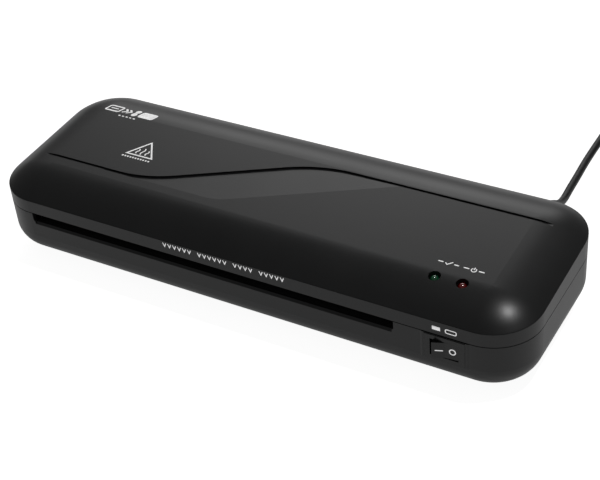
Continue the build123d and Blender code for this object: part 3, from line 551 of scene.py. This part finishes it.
def mesh_object(name, points, faces, made, slot_name, body="housing"):
    """Object from points in metres and faces of any size, dressed and attached to its body;
    slot_name is not used.
    """
    mesh = bpy.data.meshes.new(name)
    mesh.from_pydata(np.asarray(points, float).reshape(-1, 3).tolist(), [],
                     [list(map(int, f)) for f in faces])
    mesh.shade_smooth()
    obj = bpy.data.objects.new(name, mesh)
    scene.collection.objects.link(obj)
    dress(obj, made)
    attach(obj, body)
    return obj


def closed_tube(sections):
    """Points and faces of a tube through rings of points, with a fan of triangles at each end."""
    rings, around, _ = sections.shape
    points = np.vstack((sections.reshape(-1, 3), sections[0].mean(0), sections[-1].mean(0)))
    faces = [*grid_faces(rings, around, wrap_columns=True)]
    first, last = rings * around, rings * around + 1
    k = np.arange(around)
    faces += [*np.stack((k, (k + 1) % around, np.full(around, first)), -1)]
    base = (rings - 1) * around
    faces += [*np.stack((base + (k + 1) % around, base + k, np.full(around, last)), -1)]
    return points, faces


def face_outwards(obj):
    """Recalculates the normals of a closed mesh, so that every face looks out."""
    work = bmesh.new()
    work.from_mesh(obj.data)
    bmesh.ops.remove_doubles(work, verts=work.verts, dist=SAME_POINT)
    bmesh.ops.recalc_face_normals(work, faces=work.faces)
    work.to_mesh(obj.data)
    work.free()
    return obj


print("a grid of 3 by 4 points has", len(grid_faces(3, 4)), "cells")

# %% [markdown]
# ## The sleeve at the cord's exit
#
# A moulded sleeve keeps the cord from breaking where it leaves the case. It tapers, and rings of
# cuts let it bend: each ring leaves two bridges, and the bridges of the next ring are a quarter
# turn round. So the radius is a taper minus a cut, and the cut comes and goes both along the
# sleeve and around it.

# %% Strain relief sleeve
low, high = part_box("strain_relief")
SLEEVE_X, _, SLEEVE_Z = CORD_EXIT
WALL_BACK = 0.0565
BORE_RADIUS = CORD_DIAMETER / 2 + 0.02 * MM
NECK_RADIUS, FLANGE_RADIUS, FLANGE_THICK = 4.0 * MM, 4.8 * MM, 1.5 * MM
SHOULDER_DROP, SHOULDER_LENGTH = 0.3 * MM, 0.05 * MM
MOUTH_FLARE, MOUTH_LENGTH = 0.25 * MM, 0.6 * MM
TAPER_START, TAPER_END = 5.0 * MM, 3.3 * MM
CUT_DEPTH, CUT_COUNT = 1.15 * MM, 5
CUT_HALF_LENGTH, CUT_EDGE = 0.42, 24
BRIDGE_HALF_WIDTH, BRIDGE_EDGE = 0.45, 14
SLEEVE_AROUND, SLEEVE_ALONG = 64, 133


def soft_step(value, sharpness):
    """0 below zero and 1 above it, through the S-curve 1 / (1 + e^(-sharpness * value))."""
    return 1 / (1 + np.exp(-sharpness * value))


def sleeve_tail(along, around):
    """Radius of the tail: an even taper, less the cut where both masks are 1.

    Along the tail the cuts and the ribs take turns. Around it a cut is open where the sine or the
    cosine is large, and the next one uses the other of the two, which turns it by a quarter.
    """
    ring = along * (CUT_COUNT * 2 + 1)
    in_cut = soft_step(CUT_HALF_LENGTH - np.abs(ring % 2 - 1), CUT_EDGE)
    side = np.where((ring // 2).astype(int) % 2 == 0, np.cos(around), np.sin(around))
    open_side = soft_step(np.abs(side) - BRIDGE_HALF_WIDTH, BRIDGE_EDGE)
    return TAPER_START + (TAPER_END - TAPER_START) * along - CUT_DEPTH * in_cut * open_side


def round_rings(rows):
    """Plain round rings from (distance back, radius) pairs, as two arrays of ring by point."""
    y, radius = np.array(rows).T
    even = np.ones(SLEEVE_AROUND)
    return np.outer(y, even), np.outer(radius, even)


def strain_relief_sleeve():
    """Flange, neck, cut tail and flared mouth as one closed strip of rings round the cord."""
    around = np.linspace(0, 2 * math.pi, SLEEVE_AROUND, endpoint=False)
    along = np.linspace(0, 1, SLEEVE_ALONG)
    tail_radius = sleeve_tail(along[:, None], around[None, :])
    tail_y = np.broadcast_to(WALL_BACK + along[:, None] * (high.y - WALL_BACK), tail_radius.shape)
    head_y, head_radius = round_rings((
        (low.y, BORE_RADIUS),
        (low.y, FLANGE_RADIUS),
        (low.y + FLANGE_THICK, FLANGE_RADIUS),
        (low.y + FLANGE_THICK, NECK_RADIUS),
        (WALL_BACK - SHOULDER_LENGTH, NECK_RADIUS),
        (WALL_BACK, TAPER_START - SHOULDER_DROP),
    ))
    mouth_y, mouth_radius = round_rings((
        (high.y, CORD_DIAMETER / 2 + MOUTH_FLARE),
        (high.y - MOUTH_LENGTH, BORE_RADIUS),
    ))
    radius = np.vstack((head_radius, tail_radius, mouth_radius))
    y = np.vstack((head_y, tail_y, mouth_y))
    x, z = SLEEVE_X + radius * np.cos(around), SLEEVE_Z + radius * np.sin(around)
    points = np.stack((x, y, z), -1)
    faces = grid_faces(len(radius), SLEEVE_AROUND, wrap_rows=True, wrap_columns=True)
    return mesh_object("strain_relief_sleeve", points, faces, cord_pvc, "cord_rubber")


sleeve = face_outwards(strain_relief_sleeve())
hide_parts("strain_relief")
print("sleeve from", round(low.y, 4), "to", round(high.y, 4))

# %% [markdown]
# ## The plug
#
# A flat moulded plug with two round pins. Its outline across is a rounded box whose width and
# height swell from the cord to the face, with a waist that fingers can grip. One exponent turns
# a circle at the neck into a flat rounded box at the face.

# %% Plug body
plug_low, plug_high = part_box("plug_body")
PLUG_X, PLUG_Z = TAIL_POINTS[-1][0], TAIL_POINTS[-1][2]
PLUG_STATIONS = (0.0, 0.24, 0.30, 0.42, 0.55, 0.70, 0.85, 0.97, 1.0)
PLUG_HALF_WIDTH = (3.1, 4.2, 6.6, 11.8, 14.4, 15.0, 16.2, 17.0, 16.4)
PLUG_HALF_HEIGHT = (3.1, 3.9, 4.6, 5.6, 6.1, 6.2, 6.4, 6.5, 6.0)
PLUG_SQUARENESS = (2.0, 2.0, 2.3, 2.8, 3.2, 3.6, 4.0, 4.4, 4.4)
PLUG_ALONG, PLUG_AROUND = 121, 72
AVERAGED_ROWS = 9
RIBBED_SHARE, RIB_PITCH, RIB_DEPTH, RIB_GAP = 0.24, 0.03, 0.10, 0.2


def read_along(t, row):
    """One measure along the plug: straight between its stations, then averaged over some rows."""
    margin = AVERAGED_ROWS // 2
    row = np.pad(np.interp(t, PLUG_STATIONS, row), margin, "edge")
    return np.convolve(row, np.ones(AVERAGED_ROWS) / AVERAGED_ROWS, "valid")


def plug_sections():
    """Superellipse rings, |x / w|^p + |z / h|^p = 1, with w, h and p read along the plug.

    The point at angle a is w cos(a)^(2 / p) across and h sin(a)^(2 / p) up, each with its sign.
    At the cord's end a square wave makes w and h smaller by turns, which gives the grip its ribs.
    """
    t = np.linspace(0, 1, PLUG_ALONG)
    width, height, power = (read_along(t, row) for row in
                            (PLUG_HALF_WIDTH, PLUG_HALF_HEIGHT, PLUG_SQUARENESS))
    in_gap = np.sin(t * math.pi / RIB_PITCH) > RIB_GAP
    ribs = np.where(t < RIBBED_SHARE, 1 - RIB_DEPTH * in_gap, 1.0)
    a = np.linspace(0, 2 * math.pi, PLUG_AROUND, endpoint=False)
    c, s = np.cos(a), np.sin(a)
    x = np.sign(c) * np.abs(c) ** (2 / power[:, None]) * (width * ribs)[:, None]
    z = np.sign(s) * np.abs(s) ** (2 / power[:, None]) * (height * ribs)[:, None]
    y = np.broadcast_to((plug_high.y + (plug_low.y - plug_high.y) * t)[:, None], x.shape)
    return np.stack((PLUG_X + x * MM, y, PLUG_Z + z * MM), -1)


plug = mesh_object("mains_plug", *closed_tube(plug_sections()), cord_pvc, "cord_rubber")
face_outwards(plug)
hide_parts("plug_body")
print("plug from", round(plug_low.y, 3), "to", round(plug_high.y, 3))

# %% [markdown]
# ### The pins
#
# Each pin is a round bar with a rounded tip, and the half next to the plug wears a thin plastic
# collar, so that no bare metal shows when the plug is halfway in. A collar is the same shape as a
# pin, only a little thicker, shorter and blunter, so one function makes both.

# %% Plug pins
pins_low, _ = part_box("plug_pins")
PIN_SPREAD, PIN_RADIUS, PIN_TIP = 9.3 * MM, 2.0 * MM, 1.4 * MM
COLLAR_RADIUS, COLLAR_TIP, COLLAR_LENGTH = 2.08 * MM, 0.2 * MM, 9 * MM
PIN_ROOT, PIN_FLAT = 0.5 * MM, 0.2 * MM
PIN_AROUND, TIP_ROWS = 32, 7


def pin_sections(x, end, radius, tip):
    """Rings of a round bar from inside the plug to its end; a quarter circle rounds the tip."""
    a = np.linspace(0, 2 * math.pi, PIN_AROUND, endpoint=False)
    bend = np.linspace(0, math.pi / 2, TIP_ROWS)[1:]
    y = np.concatenate(((plug_low.y + PIN_ROOT, end + tip), end + tip * (1 - np.sin(bend))))
    size = np.concatenate(((radius, radius), radius - tip + tip * np.cos(bend)))
    size[-1] = max(size[-1], PIN_FLAT)
    size = size[:, None]
    across, up = x + size * np.cos(a), PLUG_Z + size * np.sin(a)
    return np.stack((across, np.broadcast_to(y[:, None], across.shape), up), -1)


def round_bar(name, sections, made, slot_name):
    """A closed tube through the sections, facing outwards."""
    return face_outwards(mesh_object(name, *closed_tube(sections), made, slot_name))


for side, label in ((-1, "left"), (1, "right")):
    x = PLUG_X + side * PIN_SPREAD
    pin = pin_sections(x, pins_low.y, PIN_RADIUS, PIN_TIP)
    collar = pin_sections(x, plug_low.y - COLLAR_LENGTH, COLLAR_RADIUS, COLLAR_TIP)
    round_bar(f"plug_pin_{label}", pin, ground_steel, "bush_bronze")
    round_bar(f"pin_sleeve_{label}", collar, switch_plastic, "cord_rubber")
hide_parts("plug_pins")
print("pins reach", round((plug_low.y - pins_low.y) / MM, 1), "mm out of the plug")

# %% [markdown]
# ## The tie round the coil
#
# A strap of woven tape holds the coil on one side. Its line is a rounded rectangle that goes
# round all the turns at once, and its section is a flat strip with soft edges, carried along
# that line.

# %% Coil tie
tie_low, tie_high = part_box("cord_tie")
TIE_THICK, TIE_CORNER = 0.7 * MM, 4.0 * MM
TIE_ALONG, TIE_AROUND = 40, 24
TIE_EDGE_POWER = 0.3


def tie_line():
    """Closed rounded rectangle in the upright plane through the coil's middle.

    Four quarter circles are joined by straights. Each row holds a point, y and z, and the
    direction out of the rectangle there, cos(a) and sin(a).
    """
    y0, y1 = tie_low.y + TIE_THICK, tie_high.y - TIE_THICK
    z0, z1 = TIE_THICK / 2, tie_high.z - TIE_THICK
    quarter = np.linspace(0, math.pi / 2, TIE_ALONG // 4)
    corners = ((y1, z1, 1, 1), (y0, z1, -1, 1), (y0, z0, -1, -1), (y1, z0, 1, -1))
    rows = []
    for turn, (y, z, back, up) in enumerate(corners):
        a = quarter + turn * math.pi / 2
        centre_y, centre_z = y - TIE_CORNER * back, z - TIE_CORNER * up
        rows.append(np.stack((centre_y + TIE_CORNER * np.cos(a), centre_z + TIE_CORNER * np.sin(a),
                              np.cos(a), np.sin(a)), -1))
    return np.vstack(rows)


def coil_tie():
    """Carries a flat section, |cos a|^0.3 wide and sin a thick, along the tie's line."""
    line = tie_line()
    a = np.linspace(0, 2 * math.pi, TIE_AROUND, endpoint=False)
    half_wide = (tie_high.x - tie_low.x) / 2
    across = np.sign(np.cos(a)) * np.abs(np.cos(a)) ** TIE_EDGE_POWER * half_wide
    out = np.sin(a) * TIE_THICK / 2
    x = np.broadcast_to(COIL_CENTRE[0] + across, (len(line), TIE_AROUND))
    y = line[:, :1] + line[:, 2:3] * out
    z = line[:, 1:2] + line[:, 3:4] * out
    faces = grid_faces(len(line), TIE_AROUND, wrap_rows=True, wrap_columns=True)
    return mesh_object("coil_tie", np.stack((x, y, z), -1), faces, webbing, "cord_rubber")


tie = face_outwards(coil_tie())
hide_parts("cord_tie")
print("the tie is", round((tie_high.x - tie_low.x) / MM, 1), "mm wide")

# %% [markdown]
# ## Printed marks
#
# Marks are screen printed in white ink straight on the curved case. Each is drawn flat, as lines
# of an even width, and then laid on the case: every point is dropped onto the real surface along
# the direction from which the printer's screen met it, and kept a hair above. The ink gets its
# thickness last.

# %% Drawing with lines of an even width
SHARPEST_CORNER = 0.45


def line_strip(path, width, closed=False):
    """Points each side of a path, half the width away along the path's normal.

    At a corner the normal is the middle one, and it is stretched by 1 / cos of half the turn,
    which keeps the width of both arms. Below SHARPEST_CORNER that cosine counts no further.
    """
    path = np.asarray(path, float)
    ahead = np.roll(path, -1, 0) - path
    behind = path - np.roll(path, 1, 0)
    if not closed:
        ahead[-1], behind[0] = behind[-1], ahead[0]
    ahead /= np.linalg.norm(ahead, axis=1)[:, None]
    behind /= np.linalg.norm(behind, axis=1)[:, None]
    middle = ahead + behind
    middle /= np.linalg.norm(middle, axis=1)[:, None]
    normal = np.stack((-middle[:, 1], middle[:, 0]), -1)
    stretch = 1 / np.clip((middle * ahead).sum(1), SHARPEST_CORNER, 1)
    side = normal * (stretch * width / 2)[:, None]
    points = np.stack((path - side, path + side), 1)
    return points.reshape(-1, 2), grid_faces(len(path), 2, wrap_rows=closed)


def circle(x, y, radius, start=0.0, end=360.0, count=28):
    """Points round a circle, or along part of it, by the sine and cosine of even angles."""
    a = np.radians(np.linspace(start, end, count, endpoint=end - start < 360))
    return np.stack((x + radius * np.cos(a), y + radius * np.sin(a)), -1)


def ring_mark(x, y, radius, width):
    """A whole circle, drawn as a closed line."""
    return line_strip(circle(x, y, radius), width, closed=True)


def dash_mark(x0, x1, y, width, parts=4):
    """A straight stroke at height y; the points between its ends let it bend with the case."""
    return line_strip(np.stack((np.linspace(x0, x1, parts), np.full(parts, y)), -1), width)


def box_mark(x0, x1, y0, y1, width, round_by):
    """Outline of a rounded box as one closed line: a quarter circle at each corner."""
    rows = [circle(cx, cy, round_by, a, a + 89.9, 6) for cx, cy, a in (
        (x1 - round_by, y1 - round_by, 0), (x0 + round_by, y1 - round_by, 90),
        (x0 + round_by, y0 + round_by, 180), (x1 - round_by, y0 + round_by, 270))]
    return line_strip(np.vstack(rows), width, closed=True)


print("a ring takes", len(ring_mark(0, 0, 1, 0.1)[0]), "points")

# %% [markdown]
# ### Laying a drawing on the case
#
# The case isn't flat, so a drawing has to bend with it. Each point of the drawing is sent towards
# the part as a ray, and where the ray lands is where the ink goes. A Shrinkwrap modifier
# could do the same, but a ray gives a place that is known at once and never slides.

# %% Print a mark
INK_LIFT, INK_THICK = 0.05 * MM, 0.03 * MM
RAY_START = 0.2


def print_mark(name, drawings, cast, host, body="housing"):
    """Lays flat drawings in millimetres on a part as one film of ink.

    cast turns a point (u, v) of a drawing into the start and the direction of its ray.
    """
    tree = BVHTree.FromPolygons([v.co for v in nodes[host].data.vertices],
                                [list(p.vertices) for p in nodes[host].data.polygons])
    points, faces, count = [], [], 0
    for flat, cells in drawings:
        for u, v in flat:
            start, way = cast(u * MM, v * MM)
            hit = tree.ray_cast(start, way)[0]
            points.append(hit - way * INK_LIFT)
        faces += [*(np.asarray(cells) + count)]
        count += len(flat)
    obj = mesh_object(name, points, faces, ink, "black_plastic", body)
    face_outwards(obj)
    thick = obj.modifiers.new("ink", "SOLIDIFY")
    thick.thickness, thick.offset = INK_THICK, 0.0
    return obj


def from_above(u, v):
    """u runs to the right and v to the back; the ray comes straight down."""
    return Vector((u, v, RAY_START)), Vector((0, 0, -1))


def from_front(u, v):
    """u runs to the right and v is the height; the ray goes straight back."""
    return Vector((u, -RAY_START, v)), Vector((0, 1, 0))


print("ink is", round(INK_THICK / MM, 3), "mm thick")

# %% [markdown]
# ### What the marks show
#
# The big mark at the back left is a picture of the machine's work: an open pouch, a pair of
# rollers and a finished sheet. In front of it is the usual picture for a hot surface. A row of
# arrowheads over the slot shows where a pouch goes in, and a tick and a power sign stand behind
# the two lamps.

# %% The picture of the work
def slant(drawing, base, amount=0.3):
    """Leans a drawing to the right by a share of its height above the base."""
    flat, cells = drawing
    flat = flat.copy()
    flat[:, 0] += (flat[:, 1] - base) * amount
    return flat, cells


PICTURE_BASE = 28.9
work_picture = [
    box_mark(-143.6, -133.8, 29.4, 34.8, 1.1, 1.0),
    dash_mark(-141.4, -136.0, 32.1, 0.9),
    line_strip(((-131.6, 30.0), (-129.2, 32.1), (-131.6, 34.2)), 1.1),
    line_strip(((-128.6, 30.0), (-126.2, 32.1), (-128.6, 34.2)), 1.1),
    ring_mark(-122.6, 30.4, 0.95, 1.7),
    ring_mark(-122.6, 33.9, 0.95, 1.7),
    box_mark(-118.8, -109.2, 29.6, 34.6, 1.4, 1.0),
    dash_mark(-118.0, -110.0, 30.7, 1.5), dash_mark(-118.0, -110.0, 32.1, 1.6),
    dash_mark(-118.0, -110.0, 33.5, 1.5),
]
work_picture = [slant(d, PICTURE_BASE) for d in work_picture]
work_picture += [dash_mark(x, x + 1.5, 26.4, 0.9, 2) for x in np.arange(-131.2, -120.0, 2.7)]
print_mark("work_picture", work_picture, from_above, "top_cover")
print("the picture of the work has", len(work_picture), "drawings")

# %% [markdown]
# ### Hot surface
#
# A triangle round three rising waves. A wave is a sine across while it climbs evenly, and the
# middle one reaches further, as the triangle leaves it more room. Dots stand below in a row.

# %% The hot surface picture
TRIANGLE = ((-103.2, -4.6), (-85.4, -4.6), (-94.3, 9.0))
WAVES = ((-97.6, 2.2), (-94.3, 3.1), (-91.0, 2.2))
WAVE_SWING, WAVE_BASE, SIDE_REACH, WAVE_RAISED = 0.55, -0.9, 2.2, 0.6
WAVE_LINE, TRIANGLE_LINE = 0.75, 0.95


def wave_mark(middle, reach):
    """One wave: x = middle + swing * sin(pi s), y = base + reach * s, with s from -1 to 1."""
    s = np.linspace(-1, 1, 15)
    base = WAVE_BASE + (reach - SIDE_REACH) * WAVE_RAISED
    x = middle + WAVE_SWING * np.sin(s * math.pi)
    return line_strip(np.stack((x, base + s * reach), -1), WAVE_LINE)


heat_picture = [line_strip(TRIANGLE, TRIANGLE_LINE, closed=True)]
heat_picture += [wave_mark(middle, reach) for middle, reach in WAVES]
heat_picture += [dash_mark(x, x + 1.15, -7.4, 1.1, 2) for x in np.arange(-104.6, -85.4, 1.83)]
print_mark("heat_picture", heat_picture, from_above, "top_cover")
print("the hot surface picture has", len(heat_picture), "drawings")

# %% [markdown]
# ### Behind the lamps
#
# The green lamp says that the rollers are warm, so a tick stands behind it. The red one says that
# the machine is on, so it has the usual power sign. Each sign has a dash on either side.

# %% Marks behind the lamps
tick = line_strip(((111.2, -23.0), (112.5, -24.2), (114.9, -21.6)), 0.6)
ready_marks = [tick, dash_mark(107.2, 110.0, -23.0, 0.75), dash_mark(116.1, 118.7, -23.0, 0.75)]
print_mark("ready_marks", ready_marks, from_above, "top_cover")
power_marks = [line_strip(circle(127.0, -23.1, 1.35, 125, 415), 0.55),
               line_strip(((127.0, -23.0), (127.0, -21.1)), 0.55),
               dash_mark(121.4, 124.4, -23.0, 0.75), dash_mark(129.7, 132.8, -23.0, 0.75)]
print_mark("power_marks", power_marks, from_above, "top_cover")
print("the lamps have", len(ready_marks) + len(power_marks), "drawings")

# %% [markdown]
# ### Over the slot and the switch
#
# Arrowheads over the slot point down at it, in four groups with a gap of one arrowhead between
# them. Over the switch a filled bar and an open one stand for its two positions.

# %% Marks on the front
FEED_GROUPS, FEED_LEFT, FEED_PITCH, FEED_Z = (6, 6, 4, 5), -43.2, 3.27, 41.0
ARROW_HALF, ARROW_UP, ARROW_DOWN, ARROW_LINE = 1.05, 1.25, 1.05, 0.55


def arrowhead(x, z):
    """Two strokes that meet below, at (x, z - ARROW_DOWN)."""
    top = z + ARROW_UP
    return line_strip(((x - ARROW_HALF, top), (x, z - ARROW_DOWN), (x + ARROW_HALF, top)),
                      ARROW_LINE)


feed_marks, x = [], FEED_LEFT
for count in FEED_GROUPS:
    for _ in range(count):
        feed_marks.append(arrowhead(x, FEED_Z))
        x += FEED_PITCH
    x += FEED_PITCH
print_mark("feed_marks", feed_marks, from_front, "top_cover")
switch_marks = [dash_mark(118.9, 123.4, 39.2, 2.3), box_mark(126.3, 132.2, 38.0, 40.3, 0.55, 0.8)]
print_mark("switch_marks", switch_marks, from_front, "top_cover")
print("over the slot are", len(feed_marks), "arrowheads")

# %% [markdown]
# ### On the rocker
#
# The line and the ring are the standard signs for on and off. They are printed on the rocker, so
# they ride on it and tip with it.

# %% Marks on the rocker
ROCKER_Z = 26.5
on_mark = dash_mark(121.4, 125.3, ROCKER_Z, 0.62)
off_mark = ring_mark(130.2, ROCKER_Z + 0.2, 1.6, 0.6)
print_mark("rocker_on_mark", [on_mark], from_front, "rocker", "rocker")
print_mark("rocker_off_mark", [off_mark], from_front, "rocker", "rocker")
print("marks are laid")

# %% [markdown]
# ## Studio
#
# A white table runs out of sight under a soft box that stands behind the machine, a little to the
# left. A black gloss surface shows only what it mirrors, so the box is what draws the top: it ends
# above and to the right, and the rounded edges, which mirror past it, stay dark. A small round
# lamp high up gives the one bright spot on the corner.

# %% White table
TABLE_HALF = 6.0
TABLE_TONE = 0.6
TABLE_GLOW = (0.27, 0.93)


def stage_floor(size=TABLE_HALF):
    """A square at height zero, matt white, with a glow that is strong only to the camera."""
    mesh = bpy.data.meshes.new("table")
    mesh.from_pydata([(-size, -size, 0), (size, -size, 0), (size, size, 0), (-size, size, 0)], [],
                     [(0, 1, 2, 3)])
    obj = bpy.data.objects.new("table", mesh)
    scene.collection.objects.link(obj)
    made = bpy.data.materials.new("white_table")
    made.use_nodes = True
    tree = made.node_tree
    tree.nodes.clear()
    path = node(tree, "LightPath")
    glow = node(tree, "MapRange", To_Min=TABLE_GLOW[0], To_Max=TABLE_GLOW[1],
                links=(("Value", path.outputs["Is Camera Ray"]),))
    matte = node(tree, "BsdfDiffuse", Color=(TABLE_TONE, TABLE_TONE, TABLE_TONE, 1))
    light = node(tree, "Emission", links=(("Strength", glow.outputs["Result"]),))
    both = node(tree, "AddShader")
    tree.links.new(matte.outputs[0], both.inputs[0])
    tree.links.new(light.outputs[0], both.inputs[1])
    out = node(tree, "OutputMaterial")
    tree.links.new(both.outputs[0], out.inputs["Surface"])
    dress(obj, made)
    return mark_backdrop(obj)


stage_floor()
print("the table is", 2 * TABLE_HALF, "m wide")

# %% [markdown]
# ### The sky as a soft box
#
# The soft box isn't a lamp but a bright patch of the sky, so it has no edge to hide and the black
# top can mirror it cleanly. The patch is a window in two angles, the bearing and the height, with
# soft edges, and its light changes evenly from side to side and from low to high. The camera
# itself sees a plain white sky.

# %% Sky with a soft box
BOX_BEARING = (-62.0, -43.0, -11.0, 2.0)
BOX_HEIGHT = (2.0, 33.0, 38.0, 43.5)
FADE_BEARING, FADE_LIGHT = (-45.0, -31.0), (0.58, 2.25)
FADE_HEIGHT, FADE_RISE = (22.0, 46.0), (1.15, 0.72)
SKY_LIGHT, SEEN_LIGHT = 0.15, 1.25
# A Mix node's places for plain numbers.
MIX_VALUE_A, MIX_VALUE_B = 2, 3


def multiply(tree, a, b):
    """The product of two outputs."""
    made = node(tree, "Math", operation="MULTIPLY")
    tree.links.new(a, made.inputs[0])
    tree.links.new(b, made.inputs[1])
    return made.outputs[0]


def window(tree, value, edges):
    """1 between the middle two of four edges and 0 outside the outer two, with smooth slopes."""
    rise = node(tree, "MapRange", interpolation_type="SMOOTHSTEP", From_Min=edges[0],
                From_Max=edges[1], links=(("Value", value),))
    fall = node(tree, "MapRange", interpolation_type="SMOOTHSTEP", From_Min=edges[2],
                From_Max=edges[3], To_Min=1.0, To_Max=0.0, links=(("Value", value),))
    return multiply(tree, rise.outputs["Result"], fall.outputs["Result"])


def direction_angles(tree):
    """Bearing from +Y, positive to the right, and height angle, both in degrees."""
    sky_way = node(tree, "TexCoord").outputs["Generated"]
    split = node(tree, "SeparateXYZ", links=(("Vector", sky_way),))
    bearing = node(tree, "Math", operation="ARCTAN2")
    tree.links.new(split.outputs["X"], bearing.inputs[0])
    tree.links.new(split.outputs["Y"], bearing.inputs[1])
    height = node(tree, "Math", operation="ARCSINE")
    tree.links.new(split.outputs["Z"], height.inputs[0])
    degrees = []
    for source in (bearing, height):
        made = node(tree, "Math", operation="DEGREES")
        tree.links.new(source.outputs[0], made.inputs[0])
        degrees.append(made.outputs[0])
    return degrees


def studio_sky():
    """World light by direction: the soft box, faded both ways, on an even dim sky."""
    world = bpy.data.worlds.new("studio")
    scene.world = world
    world.use_nodes = True
    tree = world.node_tree
    tree.nodes.clear()
    bearing, height = direction_angles(tree)
    box = multiply(tree, window(tree, bearing, BOX_BEARING), window(tree, height, BOX_HEIGHT))
    for angle, span, light in ((bearing, FADE_BEARING, FADE_LIGHT),
                               (height, FADE_HEIGHT, FADE_RISE)):
        fade = node(tree, "MapRange", From_Min=span[0], From_Max=span[1], To_Min=light[0],
                    To_Max=light[1], links=(("Value", angle),))
        box = multiply(tree, box, fade.outputs["Result"])
    total = node(tree, "Math", operation="ADD")
    tree.links.new(box, total.inputs[0])
    total.inputs[1].default_value = SKY_LIGHT
    path = node(tree, "LightPath")
    seen = node(tree, "Mix", data_type="FLOAT",
                links=(("Factor", path.outputs["Is Camera Ray"]),))
    tree.links.new(total.outputs[0], seen.inputs[MIX_VALUE_A])
    seen.inputs[MIX_VALUE_B].default_value = SEEN_LIGHT
    background = node(tree, "Background", links=(("Strength", seen.outputs[0]),))
    out = node(tree, "OutputWorld")
    tree.links.new(background.outputs[0], out.inputs["Surface"])


studio_sky()
print("the sky's soft box spans", BOX_BEARING[0], "to", BOX_BEARING[-1], "degrees")

# %% [markdown]
# ### The corner lamp
#
# A small round lamp high up, a little behind the machine. It is a sun, as only its direction and
# its apparent width matter: the width in degrees sets how large the bright spot on the corner is.

# %% Corner lamp
LAMP_DIRECTION, LAMP_WIDTH, LAMP_LIGHT = (0.215, 0.19, 0.958), 4.0, 0.78


def corner_lamp():
    """A sun that shines from LAMP_DIRECTION."""
    data = bpy.data.lights.new("corner_lamp", "SUN")
    data.energy, data.angle = LAMP_LIGHT, math.radians(LAMP_WIDTH)
    obj = bpy.data.objects.new("corner_lamp", data)
    obj.rotation_mode = "QUATERNION"
    obj.rotation_quaternion = Vector(LAMP_DIRECTION).to_track_quat("Z", "Y")
    scene.collection.objects.link(obj)
    return obj


corner_lamp()
scene.view_settings.view_transform = "Standard"
print("studio is lit")
